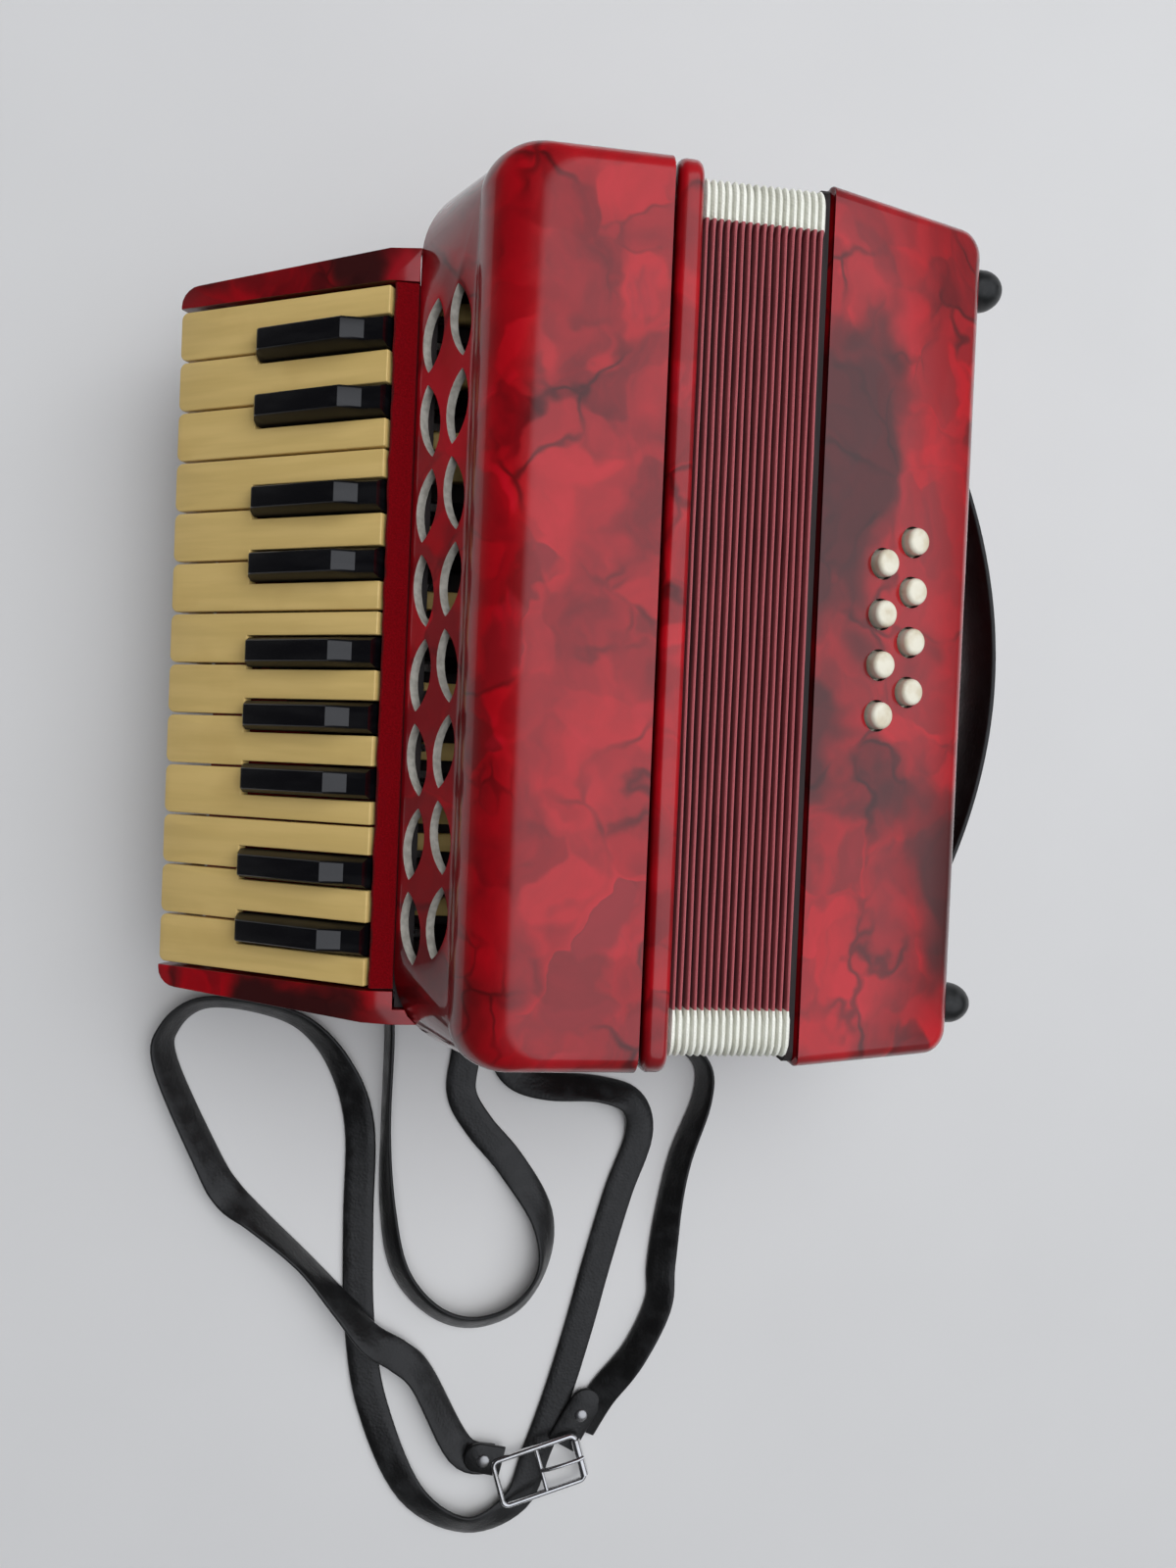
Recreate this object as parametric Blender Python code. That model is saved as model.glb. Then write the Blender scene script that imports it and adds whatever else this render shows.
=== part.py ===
"""Small piano accordion: 13 white and 9 black keys, 8 bass buttons, lying on its back.

Metres. +X runs along the bellows from the keyboard to the bass side, +Y towards the low notes,
+Z out of the front. The origin is on the treble body's flat back.
"""
import math

import bmesh
import bpy
from mathutils import Matrix, Vector

# Overall sizes
BODY_DEPTH = 0.142
BODY_LENGTH = 0.287
BODY_WIDTH = 0.0772
CORNER_RADIUS = 0.024
COVER_CORNERS = ((0.092, 0.024), (0.107, 0.027), (0.125, 0.014), (0.142, 0.012))  # height, radius
SQUARE_CORNER = 0.0006
GAP = 0.0003

# Treble side
FOOT_X = -0.056
WALL = 0.005
BODY_HEIGHT = 0.0875
SOUNDBOARD_THICKNESS = 0.0039
FLANGE_THICKNESS = 0.0085
FLANGE_LAND = 0.012
FLANGE_EDGE_RADIUS = 0.0028
COVER_WALL = 0.0026
COVER_JOINT = 0.0012
COVER_EDGE_RADIUS = 0.007
GRILLE_FOOT_RISE = 0.015
GRILLE_RUN = 0.0175
GRILLE_RISE = 0.018
ROUNDOVER_RUN = 0.0215
LEAVES = 8
LEAF_PITCH = 0.0275
LEAF_LENGTH = 0.0235
LEAF_WIDTH = 0.0088
LEAF_LEAN = math.radians(7)
GRILLE_CENTRE_Y = -0.005
LEAF_COLUMNS = (0.27, 0.745)
COLUMN_SHIFT = 0.003
SLOT_CLEARANCE = 0.0015
VALVE_MARGIN_X = 0.002
VALVE_MARGIN_Y = 0.0022
REED_FLOOR = 0.040
REED_BASE = 0.008
REED_WALLS = ((-0.036, -0.018), (-0.004, 0.010))
FLANGE_CORNER_RADIUS = 0.008

# Keyboard
WHITE_KEYS = 13
BLACK_AFTER = (1, 2, 4, 5, 7, 8, 9, 11, 12)
BLACK_SHIFTS = {1: 0.128, 2: -0.128, 4: 0.128, 5: -0.128, 7: 0.219, 8: 0.0, 9: -0.219, 11: 0.128,
                12: -0.128}  # sideways, in key pitches
KEY_PITCH = 0.0178
KEY_PLAY = 0.0008
KEY_LENGTH = 0.0865
KEY_TILT = math.radians(31)
KEYBOARD_CENTRE_Y = -0.008
KEY_TIP_X = -0.140
KEY_TIP_Z = 0.061
KEY_TIP_RADIUS = 0.0026
CAP_THICKNESS = 0.004
KEY_FRONT_DROP = 0.016
BLACK_START = 0.0345
BLACK_BASE_WIDTH = 0.556 * KEY_PITCH
BLACK_TOP_WIDTH = 0.416 * KEY_PITCH
BLACK_HEIGHT = 0.0081
BLACK_PROFILE = ((0, 0.16), (0.0040, 0.80), (0.0385, 1.0), (0.0451, 0.50), (0.0519, 0.40))
BLACK_PLAY = 0.0009
LEVER_BOTTOM = 0.013
WHITE_LEVER_WIDTH = 0.337 * KEY_PITCH
BLACK_LEVER_WIDTH = 0.281 * KEY_PITCH
ARM_THICKNESS = 0.006
ARM_CLEARANCE = 0.0023
WHITE_PALLET_X = 0.000
BLACK_PALLET_X = -0.026
PALLET_LENGTH = 0.014
WHITE_PALLET_WIDTH = 0.013
BLACK_PALLET_WIDTH = 0.009
AXLE_INSET = 0.003
AXLE_RADIUS = 0.001
AXLE_CLEARANCE = 0.0003
RAIL_LIFT = 0.002
RAIL_THICKNESS = 0.0025
RAIL_FRONT = 0.007
RAIL_BACK = 0.006
FELT_THICKNESS = 0.0015
POST_WIDTH = 0.005
POST_CLEARANCE = 0.0015
SPRING_STRIP = 0.0004
SPRING_LENGTH = 0.003
SPRING_WIDTH = 0.0024
CHEEK_CLEARANCE = 0.0008
CHEEK_TIP = 0.0075
CHEEK_ROOT = 0.011
CHEEK_REACH = 0.009
BED_DEPTH = 0.0225
BED_THICKNESS = 0.0045

# Bellows
FOLDS = 17
BELLOWS_LENGTH = 0.0396
BELLOWS_HEIGHT = 0.277
BELLOWS_FRONT_STEP = 0.0032
FOLD_DEPTH = 0.009
FOLD_SKIN = 0.0025
BELLOWS_CHAMFER = 0.006

# Bass side
BASS_FRAME_THICKNESS = 0.0025
BASS_WIDTH = 0.0628
BASS_LENGTH = 0.2852
BASS_FRONT_STEP = 0.007
BASS_SLOPE = math.radians(19.4)
BASS_WALL = 0.003
BASS_CORNER_RADIUS = 0.009
BASS_EDGE_RADIUS = 0.0045
AIR_HOLES = 8
AIR_HOLE_PITCH = 0.020
AIR_HOLE_HEIGHT = 0.062
BASS_REED_LENGTH = 0.170
BASS_REED_REACH = 0.030
BASS_REED_ROOT = (0.044, 0.080)
BASS_REED_TIP = (0.050, 0.074)
BUTTON_RADIUS = 0.0045
BUTTON_CLEARANCE = 0.0007
BUTTON_PROUD = 0.0036
BUTTON_PITCH = 0.0168
BUTTON_COLUMNS = ((0.038, 0.0070), (0.026, -0.0016))
BUTTONS_PER_COLUMN = 4
COLLAR_RADIUS = 0.0062
COLLAR_THICKNESS = 0.0014
STEM_RADIUS = 0.002
STEM_LENGTH = 0.016
GUIDE_DEPTH = 0.013
GUIDE_THICKNESS = 0.002
GUIDE_HALF = (0.015, 0.048)
GUIDE_POSTS = (0.012, 0.044)
GUIDE_POST_HALF = 0.002
FOOT_RADIUS = 0.0072
FOOT_HEIGHT = 0.0115
FOOT_INSET = 0.0160
FOOT_FRONT_Z = 0.102
FOOT_BACK_Z = 0.014
HAND_STRAP_WIDTH = 0.044
HAND_STRAP_THICKNESS = 0.0022
HAND_STRAP_SPAN = 0.210
HAND_STRAP_BOW = 0.025
HAND_STRAP_CENTRE = (-0.008, 0.060)
ANCHOR_LENGTH = 0.010
ANCHOR_THICKNESS = 0.002
AIR_BUTTON_PLACE = (0.112, 0.040)
AIR_BUTTON_RADIUS = 0.005
AIR_BUTTON_PROUD = 0.005

# Shoulder straps: x, y, turn in degrees (0 flat, 90 on edge), lift; millimetres. The routes were
# laid out from a case that ends at ROUTE_END, and follow the case's real end.
ROUTE_END = 0.1435
STRAP_WIDTH = 0.0125
STRAP_THICKNESS = 0.0016
LONG_STRAP_ROUTE = (
    (-8, -344, 0, 2), (-22, -339, 25, 0), (-39, -307, 40, 1), (-49, -297, 20, 3.5),
    (-61, -288, 45, 4), (-73, -275, 60, 1), (-90, -256, 75, 0), (-110, -238, 60, 0),
    (-121, -229, 30, 0), (-129, -215, 45, 0), (-147, -175, 55, 0), (-146, -160, 60, 0),
    (-134, -150, 62, 0), (-113, -151, 60, 0), (-93, -158, 50, 0), (-78, -175, 35, 0),
    (-69, -201, 10, 0), (-68, -242, 0, 0), (-66, -284, 0, 0), (-59, -321, 0, 0),
    (-42, -357, 20, 0), (-18, -371, 35, 0), (3, -363, 10, 0), (11, -343, 0, 0),
    (19, -319, 0, 0), (27, -290, 0, 0), (34, -261, 0, 0), (42, -231, 0, 0),
    (50, -206, 5, 0), (46, -191, 30, 0), (31, -185, 45, 0), (10, -184, 30, 0),
    (-4, -180, 10, 0), (-10, -170, 0, 0), (-9, -158, 0, 2.3), (-9, -150, 0, 2.8))
LOOP_STRAP_ROUTE = (
    (-64, -118, 75, 0), (-60, -140, 75, 0), (-58, -162, 75, 0), (-58, -201, 75, 0),
    (-56, -234, 60, 0), (-50, -261, 50, 0), (-36, -278, 50, 0), (-19, -284, 50, 0),
    (-1, -278, 55, 0), (10, -261, 65, 0), (9, -240, 40, 0), (-5, -218, 10, 0),
    (-19, -202, 0, 0), (-27, -188, 0, 0), (-26, -172, 0, 0), (-24, -158, 0, 2.3),
    (-24, -150, 0, 2.8))
SHORT_STRAP_ROUTE = (
    (14, -150, 0, 2.8), (14, -158, 0, 2.3), (19, -167, 10, 0), (33, -169, 40, 0),
    (50, -166, 60, 0), (66, -166, 65, 0), (76, -175, 65, 0), (76, -190, 65, 0),
    (68, -214, 55, 0), (64, -236, 45, 0), (62, -262, 20, 0), (61, -279, 35, 0),
    (51, -300, 45, 0), (38, -318, 20, 0), (30, -334, 0, 0))
STRAP_STEPS = 3
BUCKLE_CENTRE = (0.0120, -0.3480)
BUCKLE_LENGTH = 0.036
BUCKLE_WIDTH = 0.020
BUCKLE_WIRE = 0.0012
BUCKLE_HEIGHT = 0.0062
BUCKLE_TURN = math.radians(17)
BUCKLE_CORNER = 0.0025
STRAP_BRACKETS = ((-0.0165, 0.015), (0.0135, 0.0075))
BRACKET_BASE = 0.003
BRACKET_HEIGHT = 0.014
BRACKET_WIRE_LOW = 0.006
BRACKET_THICKNESS = 0.0015
BRACKET_WIRE = 0.0012
BRACKET_REACH = 0.012

# Places that follow from the sizes above
FLANGE_LEFT = FOOT_X + BODY_WIDTH + GAP
FLANGE_RIGHT = FLANGE_LEFT + FLANGE_THICKNESS
SOUNDBOARD_TOP = BODY_HEIGHT + GAP + SOUNDBOARD_THICKNESS
COVER_BOTTOM = SOUNDBOARD_TOP + GAP
COVER_RIGHT = FLANGE_LEFT - COVER_JOINT
GRILLE_BOTTOM_Z = COVER_BOTTOM + GRILLE_FOOT_RISE
GRILLE_TOP_Z = GRILLE_BOTTOM_Z + GRILLE_RISE
ARM_BOTTOM = SOUNDBOARD_TOP + ARM_CLEARANCE
ARM_TOP = ARM_BOTTOM + ARM_THICKNESS
AXLE = (FOOT_X + AXLE_INSET, (ARM_BOTTOM + ARM_TOP) / 2)
RAIL_BOTTOM = ARM_TOP + RAIL_LIFT
RAIL_TOP = RAIL_BOTTOM + RAIL_THICKNESS
HALF_KEYBOARD = WHITE_KEYS * KEY_PITCH / 2
POST_INNER = HALF_KEYBOARD + POST_CLEARANCE
POST_OUTER = POST_INNER + POST_WIDTH
BELLOWS_LEFT = FLANGE_RIGHT + GAP
BELLOWS_RIGHT = BELLOWS_LEFT + BELLOWS_LENGTH
BASS_FRAME_LEFT = BELLOWS_RIGHT + GAP
BASS_LEFT = BASS_FRAME_LEFT + BASS_FRAME_THICKNESS + GAP
BASS_RIGHT = BASS_LEFT + BASS_WIDTH
BASS_TOP = BODY_DEPTH - BASS_FRONT_STEP
BASS_NORMAL = Vector((math.sin(BASS_SLOPE), 0, math.cos(BASS_SLOPE)))
ACROSS_X = Vector((1, 0, 0))
ROUTE_SHIFT = ROUTE_END - BODY_LENGTH / 2


def clear_scene():
    for item in list(bpy.data.objects):
        bpy.data.objects.remove(item, do_unlink=True)


def make_material(name, colour, roughness, metallic=0.0):
    material = bpy.data.materials.new(name)
    material.use_nodes = True
    shader = material.node_tree.nodes["Principled BSDF"]
    shader.inputs["Base Color"].default_value = (*colour, 1)
    shader.inputs["Roughness"].default_value = roughness
    shader.inputs["Metallic"].default_value = metallic
    material.diffuse_color = (*colour, 1)
    return material


def make_object(name, mesh_data, material, sharp=math.radians(35)):
    bmesh.ops.recalc_face_normals(mesh_data, faces=mesh_data.faces)
    mesh = bpy.data.meshes.new(name)
    mesh_data.to_mesh(mesh)
    mesh_data.free()
    mesh.materials.append(material)
    mesh.shade_smooth()
    mesh.set_sharp_from_angle(angle=sharp)
    item = bpy.data.objects.new(name, mesh)
    bpy.context.scene.collection.objects.link(item)
    return item


def combine(item, other, operation):
    """Applies an exact Boolean with another object, which is then removed."""
    modifier = item.modifiers.new(operation, "BOOLEAN")
    modifier.operation = operation
    modifier.object = other
    modifier.solver = "EXACT"
    bpy.context.view_layer.update()
    evaluated = item.evaluated_get(bpy.context.evaluated_depsgraph_get())
    mesh = bpy.data.meshes.new_from_object(evaluated)
    item.modifiers.clear()
    item.data = mesh
    bpy.data.objects.remove(other, do_unlink=True)
    return item


def add_extrusion(mesh_data, bottom, top):
    """Joins two matching outlines into a closed prism."""
    low = [mesh_data.verts.new(point) for point in bottom]
    high = [mesh_data.verts.new(point) for point in top]
    count = len(low)
    mesh_data.faces.new(reversed(low))
    mesh_data.faces.new(high)
    for i in range(count):
        j = (i + 1) % count
        mesh_data.faces.new((low[i], low[j], high[j], high[i]))


def prism(bottom, top):
    mesh_data = bmesh.new()
    add_extrusion(mesh_data, bottom, top)
    return mesh_data


def slab(outline, z_low, z_high):
    """A plan outline of (x, y) pairs, extruded upwards."""
    return prism([(x, y, z_low) for x, y in outline], [(x, y, z_high) for x, y in outline])


def side_slab(profile, y_low, y_high):
    """A side profile of (x, z) pairs, extruded along Y."""
    return prism([(x, y_low, z) for x, z in profile], [(x, y_high, z) for x, z in profile])


def box(low, high):
    (x0, y0, z0), (x1, y1, z1) = low, high
    return slab(((x0, y0), (x1, y0), (x1, y1), (x0, y1)), z0, z1)


def loft(rings, loop=False):
    """Skins rings with the same number of points; a loop of rings closes on itself."""
    mesh_data = bmesh.new()
    rows = [[mesh_data.verts.new(point) for point in ring] for ring in rings]
    count = len(rows[0])
    pairs = list(zip(rows, rows[1:]))
    if loop:
        pairs.append((rows[-1], rows[0]))
    else:
        mesh_data.faces.new(reversed(rows[0]))
        mesh_data.faces.new(rows[-1])
    for first, second in pairs:
        for i in range(count):
            j = (i + 1) % count
            mesh_data.faces.new((first[i], first[j], second[j], second[i]))
    return mesh_data


def arc(centre, radius, start, end, steps):
    points = []
    for i in range(steps + 1):
        angle = math.radians(start + (end - start) * i / steps)
        points.append((centre[0] + radius * math.cos(angle), centre[1] + radius * math.sin(angle)))
    return points


def rounded_outline(low, high, radii, steps=5):
    """Counter-clockwise rectangle; radii are for left-low, right-low, right-high, left-high."""
    (x0, y0), (x1, y1) = low, high
    a, b, c, d = radii
    return (arc((x0 + a, y0 + a), a, 180, 270, steps) + arc((x1 - b, y0 + b), b, 270, 360, steps)
            + arc((x1 - c, y1 - c), c, 0, 90, steps) + arc((x0 + d, y1 - d), d, 90, 180, steps))


def rectangle(half_a, half_b):
    return ((-half_a, -half_b), (half_a, -half_b), (half_a, half_b), (-half_a, half_b))


def add_part(mesh_data, part):
    """Adds a finished piece of mesh to a set of cutters."""
    mesh = bpy.data.meshes.new("part")
    part.to_mesh(mesh)
    part.free()
    mesh_data.from_mesh(mesh)


def cylinder(start, direction, length, radius, sides=14, end_radius=None):
    mesh_data = bmesh.new()
    end_radius = radius if end_radius is None else end_radius
    turn = Vector(direction).to_track_quat("Z", "Y").to_matrix().to_4x4()
    place = Matrix.Translation(Vector(start)) @ turn @ Matrix.Translation((0, 0, length / 2))
    bmesh.ops.create_cone(mesh_data, cap_ends=True, cap_tris=False, segments=sides,
                          radius1=radius, radius2=end_radius, depth=length, matrix=place)
    return mesh_data


def turned(start, direction, profile, sides=14):
    """Lathe: profile is a list of (distance along the axis, radius) with closed flat ends."""
    turn = Vector(direction).to_track_quat("Z", "Y").to_matrix()
    rings = []
    for distance, radius in profile:
        ring = []
        for i in range(sides):
            angle = 2 * math.pi * i / sides
            local = Vector((radius * math.cos(angle), radius * math.sin(angle), distance))
            ring.append(Vector(start) + turn @ local)
        rings.append(ring)
    return loft(rings)


def wire(points, radius, sides=8):
    """Round wire along an open path of points."""
    rings = []
    for i, point in enumerate(points):
        before = Vector(points[max(i - 1, 0)])
        after = Vector(points[min(i + 1, len(points) - 1)])
        turn = (after - before).to_track_quat("Z", "Y").to_matrix()
        rings.append([Vector(point) + turn @ Vector((radius * math.cos(2 * math.pi * k / sides),
                                                     radius * math.sin(2 * math.pi * k / sides), 0))
                      for k in range(sides)])
    return loft(rings)


# ---- treble side -------------------------------------------------------------------------

def body_outline(inset=0.0, right=FLANGE_LEFT - GAP):
    half = BODY_LENGTH / 2 - inset
    round_left = CORNER_RADIUS - inset
    return rounded_outline((FOOT_X + inset, -half), (right - inset, half),
                           (round_left, SQUARE_CORNER, SQUARE_CORNER, round_left))


def build_treble_body(material):
    outer = body_outline()
    inner = body_outline(WALL)
    rings = [[(x, y, z) for x, y in ring] for ring, z in
             ((outer, 0.0), (outer, BODY_HEIGHT), (inner, BODY_HEIGHT), (inner, WALL))]
    body = make_object("treble_body", loft(rings), material)
    half = BODY_LENGTH / 2 - FLANGE_LAND
    window = make_object("window", box((FLANGE_LEFT - 3 * WALL, -half, FLANGE_LAND),
                                       (FLANGE_LEFT + WALL, half, BODY_HEIGHT + WALL)), material)
    return combine(body, window, "DIFFERENCE")


def ring_outline(inset, radius, half, low, high):
    return rounded_outline((-half + inset, low + inset), (half - inset, high - inset),
                           (radius,) * 4, 3)


def build_treble_flange(material):
    half = BODY_LENGTH / 2
    r = FLANGE_EDGE_RADIUS
    stations = ((0, r), (0.35 * r, 0.35 * r), (r, 0), (FLANGE_THICKNESS - r, 0),
                (FLANGE_THICKNESS - 0.35 * r, 0.35 * r), (FLANGE_THICKNESS, r))
    rings = []
    for along, inset in stations:
        outline = ring_outline(inset, FLANGE_CORNER_RADIUS - inset, half, 0.0, BODY_DEPTH)
        rings.append([(FLANGE_LEFT + along, y, z) for y, z in outline])
    opening = ring_outline(0, 0.003, half - FLANGE_LAND, FLANGE_LAND, BODY_HEIGHT)
    for along in (FLANGE_THICKNESS, 0):
        rings.append([(FLANGE_LEFT + along, y, z) for y, z in opening])
    return make_object("treble_flange", loft(rings, loop=True), material)


def cover_level(height):
    """Left edge of the cover at a height, and how far its other edges are drawn in."""
    grille_top_x = FOOT_X + GRILLE_RUN
    if height <= GRILLE_BOTTOM_Z:
        left = FOOT_X
    elif height <= GRILLE_TOP_Z:
        left = FOOT_X + GRILLE_RUN * (height - GRILLE_BOTTOM_Z) / GRILLE_RISE
    else:
        share = (height - GRILLE_TOP_Z) / (BODY_DEPTH - GRILLE_TOP_Z)
        left = grille_top_x + ROUNDOVER_RUN * (1 - math.sqrt(max(0.0, 1 - share ** 2)))
    over = max(0.0, height - (BODY_DEPTH - COVER_EDGE_RADIUS))
    drawn = COVER_EDGE_RADIUS - math.sqrt(max(0.0, COVER_EDGE_RADIUS ** 2 - over ** 2))
    return left, drawn


def corner_at(height):
    """Plan radius of the cover's corners: wide round the foot of the grille, tight at the front."""
    for (low, wide), (high, tight) in zip(COVER_CORNERS, COVER_CORNERS[1:]):
        if height <= high:
            return wide + (tight - wide) * (height - low) / (high - low)
    return tight


def cover_ring(height, inset=0.0):
    left, drawn = cover_level(height)
    half = BODY_LENGTH / 2 - drawn - inset
    radius = corner_at(height) - inset
    outline = rounded_outline((left + inset, -half), (COVER_RIGHT - inset, half),
                              (radius, SQUARE_CORNER, SQUARE_CORNER, radius))
    return [(x, y, height - inset) for x, y in outline]


def leaf_outline():
    """Pointed oval in its own plane, long axis along the first number."""
    half = LEAF_LENGTH / 2
    upper = []
    for i in range(7):
        share = i / 6
        along = half * math.cos(math.pi * share)
        upper.append((along, LEAF_WIDTH / 2 * math.sin(math.pi * share) ** 0.8))
    return upper + [(a, -b) for a, b in reversed(upper[1:-1])]


def build_grille_cutters(material):
    slope = Vector((GRILLE_RUN, 0, GRILLE_RISE))
    normal = Vector((-GRILLE_RISE, 0, GRILLE_RUN)).normalized()
    cutters = bmesh.new()
    for column, share in enumerate(LEAF_COLUMNS):
        for row in range(LEAVES):
            y = (GRILLE_CENTRE_Y + (row - (LEAVES - 1) / 2) * LEAF_PITCH
                 + (column - 0.5) * COLUMN_SHIFT)
            centre = Vector((FOOT_X, y, GRILLE_BOTTOM_Z)) + slope * share
            lean = LEAF_LEAN if (row + column) % 2 else -LEAF_LEAN
            along = Vector((0, 1, 0)) * math.cos(lean) + slope.normalized() * math.sin(lean)
            across = normal.cross(along)
            points = [centre + along * a + across * b for a, b in leaf_outline()]
            add_extrusion(cutters, [p - normal * 2 * COVER_WALL for p in points],
                          [p + normal * 2 * COVER_WALL for p in points])
    return make_object("leaf_cutters", cutters, material)


def build_treble_cover(material):
    heights = [COVER_BOTTOM, GRILLE_BOTTOM_Z, GRILLE_TOP_Z]
    steps = 7
    for i in range(1, steps + 1):
        angle = math.pi / 2 * i / steps
        heights.append(GRILLE_TOP_Z + (BODY_DEPTH - GRILLE_TOP_Z) * math.sin(angle))
    outer = [cover_ring(height) for height in heights]
    inner = [cover_ring(height, COVER_WALL) for height in heights[1:]]
    rim = cover_ring(COVER_BOTTOM + COVER_WALL, COVER_WALL)
    cover = make_object("treble_cover", loft(list(reversed(inner)) + [rim] + outer), material)
    reach = POST_OUTER + SLOT_CLEARANCE
    slot = make_object("slot", box((FOOT_X - WALL, KEYBOARD_CENTRE_Y - reach, COVER_BOTTOM - WALL),
                                   (FOOT_X + 2 * WALL, KEYBOARD_CENTRE_Y + reach, RAIL_TOP + GAP)),
                       material)
    combine(cover, slot, "DIFFERENCE")
    return combine(cover, build_grille_cutters(material), "DIFFERENCE")


def white_centre(index):
    return KEYBOARD_CENTRE_Y + ((WHITE_KEYS - 1) / 2 - index) * KEY_PITCH


def black_centre(after):
    return white_centre(after) + KEY_PITCH / 2


def black_shift(after):
    return BLACK_SHIFTS[after] * KEY_PITCH


def neck(index):
    """Low and high side of a white key between the black ones, measured from its middle."""
    half = (KEY_PITCH - KEY_PLAY) / 2
    notch = KEY_PITCH / 2 - BLACK_BASE_WIDTH / 2 - BLACK_PLAY
    low = black_shift(index + 1) - notch if index + 1 in BLACK_AFTER else -half
    high = black_shift(index) + notch if index in BLACK_AFTER else half
    return low, high


def white_aside(index):
    """How far a white key's lever sits off the middle, under its neck and clear of the pallets."""
    room = (KEY_PITCH - BLACK_PALLET_WIDTH - WHITE_LEVER_WIDTH) / 2 - GAP
    aside = sum(neck(index)) / 2
    between = index in BLACK_AFTER and index + 1 in BLACK_AFTER
    return max(-room, min(room, aside)) if between else aside


def pallet_places():
    whites = [(WHITE_PALLET_X, white_centre(i), WHITE_PALLET_WIDTH) for i in range(WHITE_KEYS)]
    blacks = [(BLACK_PALLET_X, black_centre(i), BLACK_PALLET_WIDTH) for i in BLACK_AFTER]
    return whites + blacks


def build_treble_soundboard(material):
    board = make_object("treble_soundboard",
                        slab(body_outline(0.0008), BODY_HEIGHT + GAP, SOUNDBOARD_TOP), material)
    holes = bmesh.new()
    for x, y, width in pallet_places():
        along, across = PALLET_LENGTH / 2 - VALVE_MARGIN_X, width / 2 - VALVE_MARGIN_Y
        corners = rectangle(along, across)
        add_extrusion(holes, [(x + a, y + b, BODY_HEIGHT - WALL) for a, b in corners],
                      [(x + a, y + b, SOUNDBOARD_TOP + WALL) for a, b in corners])
    return combine(board, make_object("holes", holes, material), "DIFFERENCE")


def build_treble_reed_block(material):
    """Two comb walls under the pallet rows, tied by a base board."""
    (a, b), (c, d) = REED_WALLS
    low, floor, top = REED_FLOOR, REED_FLOOR + REED_BASE, BODY_HEIGHT
    profile = ((a, low), (d, low), (d, top), (c, top), (c, floor), (b, floor), (b, top), (a, top))
    return make_object("treble_reed_block", side_slab(profile, KEYBOARD_CENTRE_Y - HALF_KEYBOARD,
                                                      KEYBOARD_CENTRE_Y + HALF_KEYBOARD), material)


# ---- keyboard ----------------------------------------------------------------------------

def key_point(along, above):
    """Side-view point (x, z) at a distance along the key tops and a height above them."""
    return (KEY_TIP_X + along * math.cos(KEY_TILT) - above * math.sin(KEY_TILT),
            KEY_TIP_Z + along * math.sin(KEY_TILT) + above * math.cos(KEY_TILT))


def tilted(along, y, above):
    x, z = key_point(along, above)
    return Vector((x, y, z))


def white_outline(index):
    """Plan of a white key's top, (distance from the free end, y)."""
    half = (KEY_PITCH - KEY_PLAY) / 2
    low, high = neck(index)
    start = BLACK_START - BLACK_PLAY
    r = KEY_TIP_RADIUS
    low_notch = (index + 1) in BLACK_AFTER
    high_notch = index in BLACK_AFTER
    points = [(0, -half + r), (0.3 * r, -half + 0.3 * r), (r, -half)]
    if low_notch:
        points += [(start, -half), (start, low), (KEY_LENGTH, low)]
    else:
        points += [(KEY_LENGTH, -half)]
    if high_notch:
        points += [(KEY_LENGTH, high), (start, high), (start, half)]
    else:
        points += [(KEY_LENGTH, half)]
    return points + [(r, half), (0.3 * r, half - 0.3 * r), (0, half - r)]


def lever_profile(start, pallet_x):
    """Side view of the wooden lever: under the key top, then level over the soundboard."""
    last = KEY_LENGTH - 0.0015
    x_end, z_end = key_point(last, -CAP_THICKNESS + 0.001)
    drop = x_end + 0.0025
    low_x, low_z = key_point(KEY_LENGTH - 0.0005, -LEVER_BOTTOM)
    return (key_point(start, -CAP_THICKNESS + 0.001), (x_end, z_end), (drop, ARM_TOP),
            (pallet_x + PALLET_LENGTH / 2, ARM_TOP), (pallet_x + PALLET_LENGTH / 2, ARM_BOTTOM),
            (low_x + 0.004, ARM_BOTTOM), (low_x, low_z), key_point(start, -LEVER_BOTTOM))


def finish_key(key, y, aside, width, pallet_x, pallet_width, start, material):
    half, middle = width / 2, y + aside
    lever = make_object("lever", side_slab(lever_profile(start, pallet_x), middle - half,
                                           middle + half), material)
    combine(key, lever, "UNION")
    pallet = make_object("pallet", box((pallet_x - PALLET_LENGTH / 2, y - pallet_width / 2,
                                        SOUNDBOARD_TOP + GAP),
                                       (pallet_x + PALLET_LENGTH / 2 - 0.001, y + pallet_width / 2,
                                        ARM_BOTTOM + 0.0008)), material)
    combine(key, pallet, "UNION")
    drill = make_object("drill", cylinder((AXLE[0], middle - width, AXLE[1]), (0, 1, 0), 2 * width,
                                          AXLE_RADIUS + AXLE_CLEARANCE, 10), material)
    combine(key, drill, "DIFFERENCE")
    pivot = Vector((AXLE[0], y, AXLE[1]))
    key.data.transform(Matrix.Translation(-pivot))
    key.location = pivot
    key.data.materials.clear()
    key.data.materials.append(material)
    return key


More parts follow.
